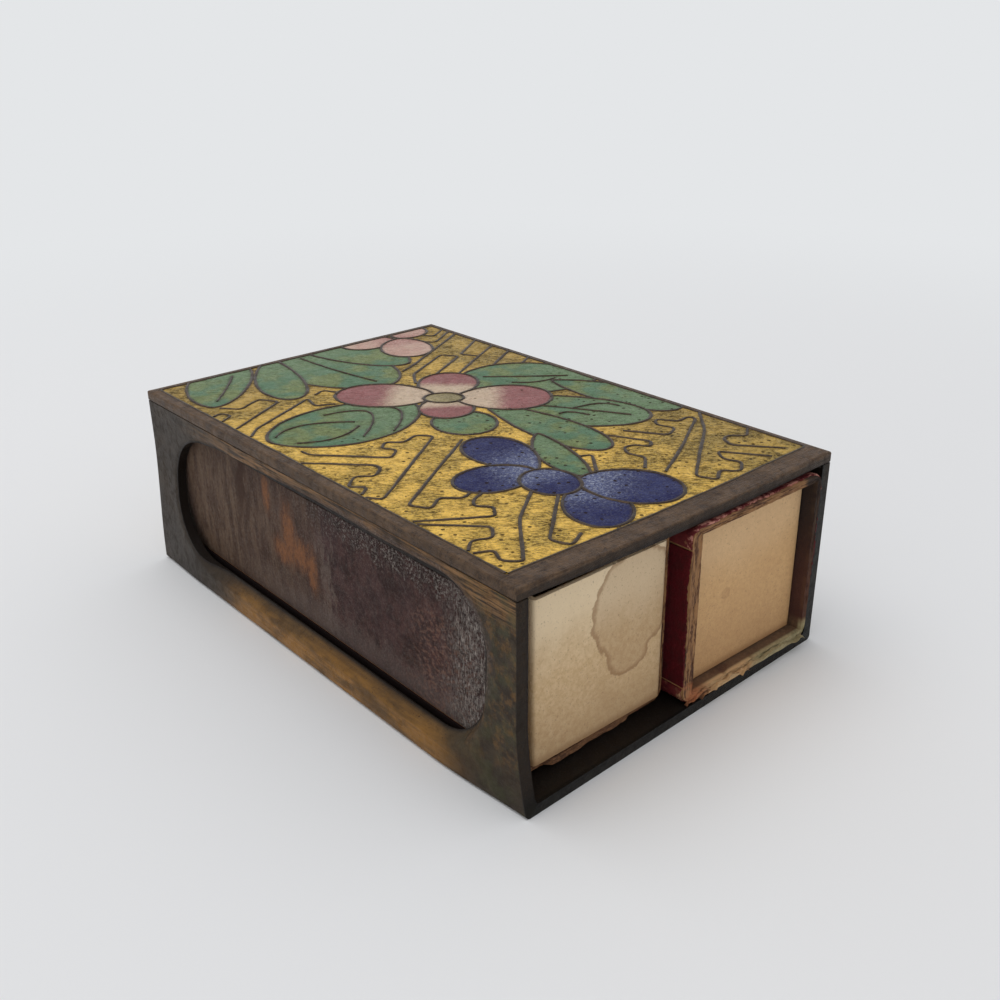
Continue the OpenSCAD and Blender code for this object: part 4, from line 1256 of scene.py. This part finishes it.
# %% Enamels
def enamel_look(colours, change, speckle, dirt=0.5, dull=0.0):
    """A build for one glass: colours from petal tip to root, where the change lies, how speckled, dirty and dull."""
    def build(w):
        at = use(w, case_place)
        fine = use(w, grime, 1)
        s = w.attribute("along")
        grain = w.noise(at, 3.2, 5, 0.8)
        edge = w.plus(s, w.both(w.less(grain, 0.5), speckle))
        turned = w.span(edge, *change)
        colour = w.mix(turned, colours[0], colours[1])
        colour = w.lay(colour, w.mix(turned, colours[2], colours[1]), w.span(w.noise(at, 0.3, 3), 0.42, 0.6), 0.8)
        grains = w.span(w.noise(at, 4.6, 4, 0.8), 0.5, 0.6)
        colour = w.lay(colour, colours[3], grains, w.plus(w.both(turned, 0.6), 0.08))
        pit, lines = use(w, pits), use(w, hairlines)
        marks = w.most(w.both(pit, w.span(w.axis(at, "Y"), 44, 24, 0.15, 1.0)), w.both(lines, 0.85 * dirt))
        near_wire = w.both(w.span(w.attribute("to_wire"), 0.46, 0.16), w.span(w.noise(at, 1.5, 5, 0.75), 0.36, 0.6))
        colour = w.lay(colour, colours[4], fine, 0.3 * dirt)
        # the glass is coloured darker and duller towards the right and the back
        darker_right_and_back = w.most(w.span(w.axis(at, "X"), 20, 34), w.span(w.axis(at, "Y"), 34, 52))
        colour = w.lay(colour, tone(82, 76, 44), darker_right_and_back, dull)
        colour = w.lay(colour, tone(58, 46, 34), near_wire, 0.6)
        colour = w.lay(colour, tone(42, 30, 16), marks, 0.88)
        rough = w.plus(w.plus(w.both(fine, 0.16), 0.26), w.both(marks, 0.4), clamp=True)
        height = w.less(w.both(w.noise(at, 1.6, 3), 0.6), marks)
        return {"Base Color": colour, "Roughness": rough, "Normal": w.bump(height, 0.5, 0.00009)}
    return build


ENAMELS = {
    "yellow": ([tone(236, 192, 86), tone(236, 192, 86), tone(186, 154, 66), tone(228, 198, 116), tone(112, 84, 46)],
               (0.2, 0.8), 0.3, 1.0, 0.48),
    "green": ([tone(82, 117, 87), tone(102, 128, 90), tone(122, 132, 76), tone(122, 142, 112), tone(60, 86, 66)],
              (0.3, 0.8), 0.8, 0.5),
    "blue": ([tone(30, 34, 80), tone(90, 98, 132), tone(50, 56, 98), tone(176, 182, 194), tone(22, 24, 52)],
             (0.35, 0.95), 1.0, 0.4),
    "rose": ([tone(138, 86, 84), tone(198, 177, 150), tone(150, 92, 92), tone(206, 176, 158), tone(112, 68, 64)],
             (0.42, 0.68), 0.35, 0.4),
    "blush": ([tone(196, 166, 148), tone(168, 118, 110), tone(190, 150, 136), tone(206, 184, 166),
               tone(140, 110, 96)], (0.4, 0.95), 0.5, 0.4),
    "bud": ([tone(168, 154, 114), tone(132, 121, 84), tone(150, 137, 98), tone(182, 168, 130), tone(96, 86, 58)],
            (0.3, 0.8), 0.5, 0.5),
}
for kind, look in ENAMELS.items():
    shine = 0.05 if kind == "blue" else 0.12
    finish(kind + " glass", enamel_look(*look), [enamel[kind]], Specular_IOR_Level=shine)

# %% [markdown]
# The matchboxes are paper and board. Board shows its plies at a torn edge as bands of tan and brown that
# follow its thickness. The maroon paper is faded in blotches and torn pale at its front edge. The striking
# strips are a dark ground of glue and powder, scratched grey by use and rubbed by the wall.

# %% Board, paper and striking strips
def board(w):
    """Plies by depth, then torn, damp and shaded parts by their place on the boxes."""
    at = use(w, case_place)
    x, z = (w.axis(at, n) for n in "XZ")
    mottle, felt = use(w, fibres, 0), use(w, fibres, 1)
    ply_place = w.node("ShaderNodeCombineXYZ", {0: w.both(w.attribute("depth"), 4.5), 1: w.both(x, 0.35),
                                                2: w.both(z, 0.35)})
    plies = w.noise(ply_place, 1.0, 3, 0.6)
    colour = w.mix(w.span(plies, 0.4, 0.58), tone(86, 52, 32), tone(160, 118, 76))
    colour = w.lay(colour, tone(52, 26, 20), w.span(plies, 0.42, 0.34), 0.9)
    colour = w.lay(colour, tone(134, 96, 62), mottle, 0.3)
    right_box = w.span(x, 18.2, 18.8)
    low_front = w.both(w.span(z, 3.4, 2.6), w.span(w.attribute("from_front"), 5, 3))
    torn = w.both(w.both(low_front, w.span(w.noise(at, 0.5, 4), 0.36, 0.5)), right_box)
    colour = w.lay(colour, w.mix(w.span(x, 20.5, 23), tone(178, 112, 72), tone(216, 180, 132)), torn, 0.85)
    damp = w.both(w.span(x, 27, 30), low_front)
    colour = w.lay(colour, w.mix(mottle, tone(136, 130, 96), tone(174, 164, 124)), damp, 0.85)
    low_left = w.both(w.span(z, 2.6, 2.2), w.less(1.0, right_box))
    colour = w.lay(colour, w.mix(mottle, tone(78, 48, 30), tone(134, 92, 58)), low_left, 0.7)
    # painted shade: the sleeve's inner face behind its front edge is coloured dark brown
    within = w.both(w.span(w.attribute("from_front"), 0.25, 0.6), w.span(w.attribute("depth"), 0.9, 1.0))
    colour = w.lay(colour, w.mix(mottle, tone(78, 48, 30), tone(104, 70, 44)), within, 0.9)
    # painted shade: the right cover's right board, between tray and case wall, is coloured dark red-brown, nearly
    # black higher up
    right_board_shade = w.both(w.span(x, 33.8, 34.6), w.span(z, 2.2, 3.4))
    colour = w.lay(colour, w.mix(w.span(z, 6, 15), tone(70, 34, 26), tone(22, 12, 10)), right_board_shade, 0.85)
    return {"Base Color": colour, "Normal": w.bump(w.plus(felt, plies), 0.8, 0.00014)}


def maroon(w):
    """Two reds in blotches, faded, scuffed and torn pale at the lip, with painted shade low on the left side below
    the window's sill.
    """
    at = use(w, case_place)
    mottle, felt = use(w, fibres, 0), use(w, fibres, 1)
    z = w.axis(at, "Z")
    colour = w.mix(mottle, tone(74, 14, 22), tone(98, 28, 30))
    faded = w.span(w.noise(w.stretched(at, (1, 0.5, 1)), 0.35, 5, 0.65, 0.5), 0.4, 0.64)
    colour = w.lay(colour, tone(116, 52, 46), faded, 0.45)
    scuff = w.span(w.noise(at, 1.3, 6, 0.7), 0.58, 0.68)
    lip = w.both(w.span(w.attribute("from_front"), 1.0, 0.3), w.span(w.noise(at, 0.8, 4, 0.7), 0.46, 0.56))
    colour = w.lay(colour, tone(150, 104, 76), scuff, 0.5)
    colour = w.lay(colour, w.mix(w.span(z, 6, 12), tone(188, 150, 112), tone(198, 138, 122)), lip, 0.8)
    # painted shade: the paper low on the left box's outer side, seen past the window's sill, is coloured nearly
    # black
    sill_gap_shade = w.both(w.span(w.axis(at, "X"), 1.7, 1.3), w.span(z, 4.2, 3.0))
    colour = w.lay(colour, tone(20, 14, 12), sill_gap_shade, 0.96)
    return {"Base Color": colour, "Normal": w.bump(felt, 0.5, 0.00008)}


RUST = [(37.2, 14.2, 0.7, 1.9), (33.5, 11.3, 1.2, 3.2), (34.6, 9.2, 1.9, 1.4), (31.6, 9.8, 1.9, 1.7),
        (29.7, 9.0, 0.9, 2.4)]


def striker(w):
    """Two grounds along the strip, then scuffs, rust, a smudge and a margin of paper."""
    at = use(w, case_place)
    y, z = w.axis(at, "Y"), w.axis(at, "Z")
    broad, fine, specks = (use(w, grime, k) for k in range(3))
    swing = w.less(w.noise(at, (1, 1.1, 0.3), 5, 0.7), 0.5)
    torn_y = w.plus(y, w.both(swing, 9))
    back = w.plus(w.both(w.span(torn_y, 27.0, 28.8), 0.6), w.both(w.span(y, 28, 46), 0.4))
    ground = w.mix(w.span(w.noise(w.stretched(at, (1, 0.6, 0.5)), 1.2, 6, 0.75), 0.4, 0.6), tone(42, 23, 22),
                   tone(74, 49, 46))
    aged = w.mix(w.span(w.noise(at, (1, 0.9, 0.22), 6, 0.75), 0.36, 0.64), tone(62, 43, 32), tone(104, 84, 67))
    colour = w.mix(back, ground, aged)
    colour = w.lay(colour, w.mix(back, tone(72, 54, 54), tone(82, 64, 54)), broad, 0.35)
    tear = w.both(w.span(torn_y, 26.2, 27.2), w.span(torn_y, 28.4, 27.4))
    colour = w.lay(colour, tone(126, 112, 100), w.both(tear, w.span(z, 15, 11)), 0.4)
    grain = w.span(w.noise(at, 3.8, 6, 0.9), 0.5, 0.57)
    upright = w.span(w.noise(at, (1, 6.5, 1.5), 5, 0.8, 0.2), 0.48, 0.58)
    uneven = w.both(w.less(w.noise(at, 0.7, 5, 0.7), 0.5), 7)
    top_edge = w.both(w.span(w.plus(z, uneven), 13.2, 16.2), w.both(w.span(y, 34, 22), w.span(y, 2, 8)))
    front_end = w.span(w.plus(y, uneven), 11, 6.5)
    foot = w.both(w.span(w.plus(z, uneven), 7.5, 4), w.span(y, 46, 32))
    scuffed = w.most(w.both(grain, w.most(top_edge, w.both(front_end, 0.6))),
                     w.both(upright, w.both(front_end, 0.75)))
    colour = w.lay(colour, tone(104, 92, 86), foot, 0.5)
    brown = w.both(w.span(w.noise(at, (1, 1.6, 2.6), 5, 0.8), 0.5, 0.58),
                   w.both(w.span(y, 4, 7), w.span(y, 17, 11)))
    colour = w.lay(colour, tone(134, 98, 82), w.both(brown, w.span(z, 14, 11)), 0.6)
    colour = w.lay(colour, tone(196, 186, 176), w.plus(scuffed, w.both(grain, 0.1), clamp=True), 0.9)
    rust = -1.0
    for cy, cz, ry, rz in RUST:
        dy = w.math("DIVIDE", w.less(y, cy), ry)
        dz = w.math("DIVIDE", w.less(z, cz), rz)
        rust = w.most(rust, w.less(1.0, w.plus(w.both(dy, dy), w.both(dz, dz))))
    ragged = w.both(w.less(w.noise(at, (1, 2.4, 1.0), 6, 0.8), 0.5), 6)
    outer_side = w.span(w.axis(at, "X"), 3, 2)
    spots = w.both(w.less(w.noise(at, (1, 0.3, 0.22), 2), 0.62), 12)
    rust = w.mix(outer_side, spots, rust)
    stained = w.span(w.plus(rust, w.both(ragged, 0.5)), -1.4, 1.2)
    colour = w.lay(colour, tone(112, 72, 48), stained, 0.6)
    rust = w.span(w.plus(rust, ragged), 0.0, 1.1)
    colour = w.lay(colour, w.mix(w.noise(at, 2.5, 4, 0.8), tone(84, 48, 30), tone(184, 124, 78)), rust, 0.62)
    smudge = w.both(w.span(w.noise(at, (1, 0.9, 0.2), 4), 0.36, 0.5),
                    w.both(w.span(y, 40.4, 41.4), w.span(y, 43.6, 42.4)))
    colour = w.lay(colour, tone(58, 34, 22), w.both(w.both(smudge, outer_side), w.span(z, 8.5, 12)), 0.8)
    colour = w.lay(colour, tone(40, 28, 26), specks, 0.5)
    margin = w.span(w.attribute("from_front"), 2.5, 2.3)
    colour = w.mix(margin, colour, w.mix(fine, tone(104, 22, 30), tone(84, 26, 28)))
    height = w.plus(w.noise(at, 4.0, 6, 0.85), w.both(scuffed, 1.2))
    return {"Base Color": colour, "Normal": w.bump(height, 0.9, 0.00016)}


def stain(w, at, cx, cz, r, ragged):
    """How far a point of a tray's front lies from a stain's edge, in mm, the edge unsettled by noise."""
    x, z = w.axis(at, "X"), w.axis(at, "Z")
    dx, dz = w.less(x, cx), w.less(z, cz)
    away = w.math("SQRT", w.plus(w.both(dx, dx), w.both(dz, dz)))
    unsettled = w.both(w.less(w.noise(at, 0.7, 4, 0.6), 0.5), ragged)
    return w.less(w.plus(away, unsettled), r)


def tray_look(light, middle, dark, stains, strength, top):
    """A build for tray board: three browns, fibres, specks, painted light at the top and painted shade at the foot,
    and stains that share one dried edge.
    """
    def build(w):
        at = use(w, case_place)
        y, z = (w.axis(at, n) for n in "YZ")
        mottle, felt = use(w, fibres, 0), use(w, fibres, 1)
        broad, specks = use(w, grime, 0), use(w, grime, 2)
        colour = w.mix(mottle, light, middle)
        colour = w.lay(colour, middle, broad, 0.35)
        uneven_z = w.plus(z, w.both(w.noise(at, 0.25, 3), 5))
        colour = w.lay(colour, dark, w.span(uneven_z, 13, 4), 0.35)
        # painted light: a pale cream wash over the top of the tray's front, as strong as top
        colour = w.lay(colour, w.mix(0.5, light, (1, 0.86, 0.62, 1)), w.span(uneven_z, 12, 18), top)
        outside = stain(w, at, *stains[0])
        for spot in stains[1:]:
            outside = w.math("MINIMUM", outside, stain(w, at, *spot))
        line = w.both(w.span(outside, -0.55, -0.02), w.span(outside, 0.14, 0.04))
        on_front = w.span(y, 1.6, 1.5)
        colour = w.lay(colour, dark, w.both(w.span(outside, 0.05, -0.1), on_front), 0.3 * strength)
        colour = w.lay(colour, dark, w.both(line, on_front), 0.7 * strength)
        colour = w.lay(colour, tone(128, 98, 72), specks, 0.4)
        # painted shade along the foot of the tray's front
        colour = w.lay(colour, dark, w.span(z, 3.0, 2.1), 0.6)
        return {"Base Color": colour, "Normal": w.bump(felt, 0.6, 0.00007)}
    return build


finish("torn board", board, [*covers.values(), torn_flakes], Roughness=0.85)
finish("maroon paper", maroon, papers.values(), Roughness=0.7, Specular_IOR_Level=0.25)
finish("striking strip", striker, strips.values(), Roughness=0.62, Specular_IOR_Level=0.15)
# The last number given to tray_look is the strength of the painted light at the top of the tray's front.
finish("cream tray board", tray_look(tone(216, 188, 146), tone(196, 164, 120), tone(142, 104, 66),
                                     [(13.9, 12.7, 4.9, 1.6), (13.4, 8.7, 2.5, 1.4), (11.6, 9.3, 0.5, 0.3)], 0.9,
                                     0.8),
       trays["left"], Roughness=0.8)
finish("tan tray board",
       tray_look(tone(212, 172, 120), tone(196, 155, 106), tone(142, 99, 60), [(25.5, 9.3, 0.5, 0.3)], 0.3, 0.25),
       trays["right"], Roughness=0.8)

# %% [markdown]
# Aspen splints have a straight pale grain along their length. The heads are a dull red-brown paste with
# grit in it.

# %% Splints and heads
def aspen(w):
    """Straight grain in two tans."""
    at = use(w, case_place)
    grain = w.noise(at, (5, 0.25, 5), 4, 0.6, 0.3)
    colour = w.mix(w.span(grain, 0.35, 0.65), tone(206, 176, 130), tone(176, 140, 94))
    return {"Base Color": colour, "Normal": w.bump(grain, 0.5, 0.00006)}


def head_paste(w):
    """Grit in two red-browns."""
    at = use(w, case_place)
    grit = w.noise(at, 7.0, 4, 0.7)
    colour = w.mix(w.span(grit, 0.35, 0.65), tone(74, 32, 26), tone(104, 52, 40))
    return {"Base Color": colour, "Normal": w.bump(grit, 0.8, 0.00012)}


finish("aspen", aspen, [match_pieces[s][0] for s in BOXES], Roughness=0.65)
finish("head paste", head_paste, [match_pieces[s][1] for s in BOXES], Roughness=0.75)

# %% [markdown]
# ## Floor, light and camera
#
# The case stands on plain pale card under a broad soft light, close to a product shot. The floor is a
# large disc. Further out it turns into a plain glow of the backdrop's colour, which hides the horizon.

# %% Floor and world
BACKDROP = tone(228, 230, 232)
RADII = np.array([0.0001, 0.03, 0.06, 0.1, 0.16, 0.3, 0.8, 3.0])[:, None]
angles = np.linspace(0, 2 * math.pi, 96, endpoint=False)
disc = grid_points(RADII * np.cos(angles), RADII * np.sin(angles), 0)
disc_quads = grid_quads(len(RADII), len(angles), wrap_columns=True)
floor_mesh = bpy.data.meshes.new("pale floor")
floor_mesh.from_pydata(disc.tolist(), [], disc_quads.tolist() + [list(range(len(angles)))])
floor_disc = bpy.data.objects.new("pale floor", floor_mesh)
bpy.context.scene.collection.objects.link(floor_disc)
card = bpy.data.materials.new("pale card")
card.use_nodes = True
card_wiring = Wiring(card.node_tree)
card_shader = card.node_tree.nodes["Principled BSDF"]
for key, value in {"Base Color": tone(230, 231, 231), "Roughness": 0.9, "Specular IOR Level": 0.2}.items():
    card_wiring.feed(value, card_shader.inputs[key])
spot = card_wiring.node("ShaderNodeTexCoord", out="Object")
away = card_wiring.node("ShaderNodeVectorMath", {0: spot}, out="Value", operation="LENGTH")
glow = card_wiring.node("ShaderNodeEmission", {"Color": BACKDROP, "Strength": 1.0})
far_off = card_wiring.span(away, 0.06, 0.22)
blend = card_wiring.node("ShaderNodeMixShader", {0: far_off, 1: card_shader.outputs[0], 2: glow})
card.node_tree.links.new(blend, card.node_tree.nodes["Material Output"].inputs["Surface"])
floor_disc.data.materials.append(card)

world = bpy.data.worlds.new("soft room")
bpy.context.scene.world = world
world.use_nodes = True
room = Wiring(world.node_tree)
seen = room.node("ShaderNodeBackground", {"Color": BACKDROP, "Strength": 1.0})
lit = room.node("ShaderNodeBackground", {"Color": tone(252, 252, 255), "Strength": 0.71})
pick = room.node("ShaderNodeMixShader", {0: room.node("ShaderNodeLightPath", out="Is Camera Ray"), 1: lit, 2: seen})
world.node_tree.links.new(pick, world.node_tree.nodes["World Output"].inputs["Surface"])


# %% Lamps and camera
def soft_lamp(name, at, size, power, aim=(0, 0, 0.01)):
    """A square area lamp that faces a point."""
    data = bpy.data.lights.new(name, "AREA")
    data.size, data.energy = size, power
    lamp = bpy.data.objects.new(name, data)
    lamp.location = at
    lamp.rotation_euler = (Vector(aim) - Vector(at)).to_track_quat("-Z", "Y").to_euler()
    bpy.context.scene.collection.objects.link(lamp)


soft_lamp("overhead", (-0.07, 0.08, 0.42), 0.36, 0.62)
camera_data = bpy.data.cameras.new("camera")
camera_data.sensor_width, camera_data.lens, camera_data.clip_start = 36, 40.09, 0.005
camera = bpy.data.objects.new("camera", camera_data)
camera.location = (-0.06421, -0.07925, 0.05733)
camera.rotation_euler = (1.14377, 0.01090, -0.71806)
bpy.context.scene.collection.objects.link(camera)
bpy.context.scene.camera = camera
bpy.context.scene.view_settings.view_transform = "Standard"
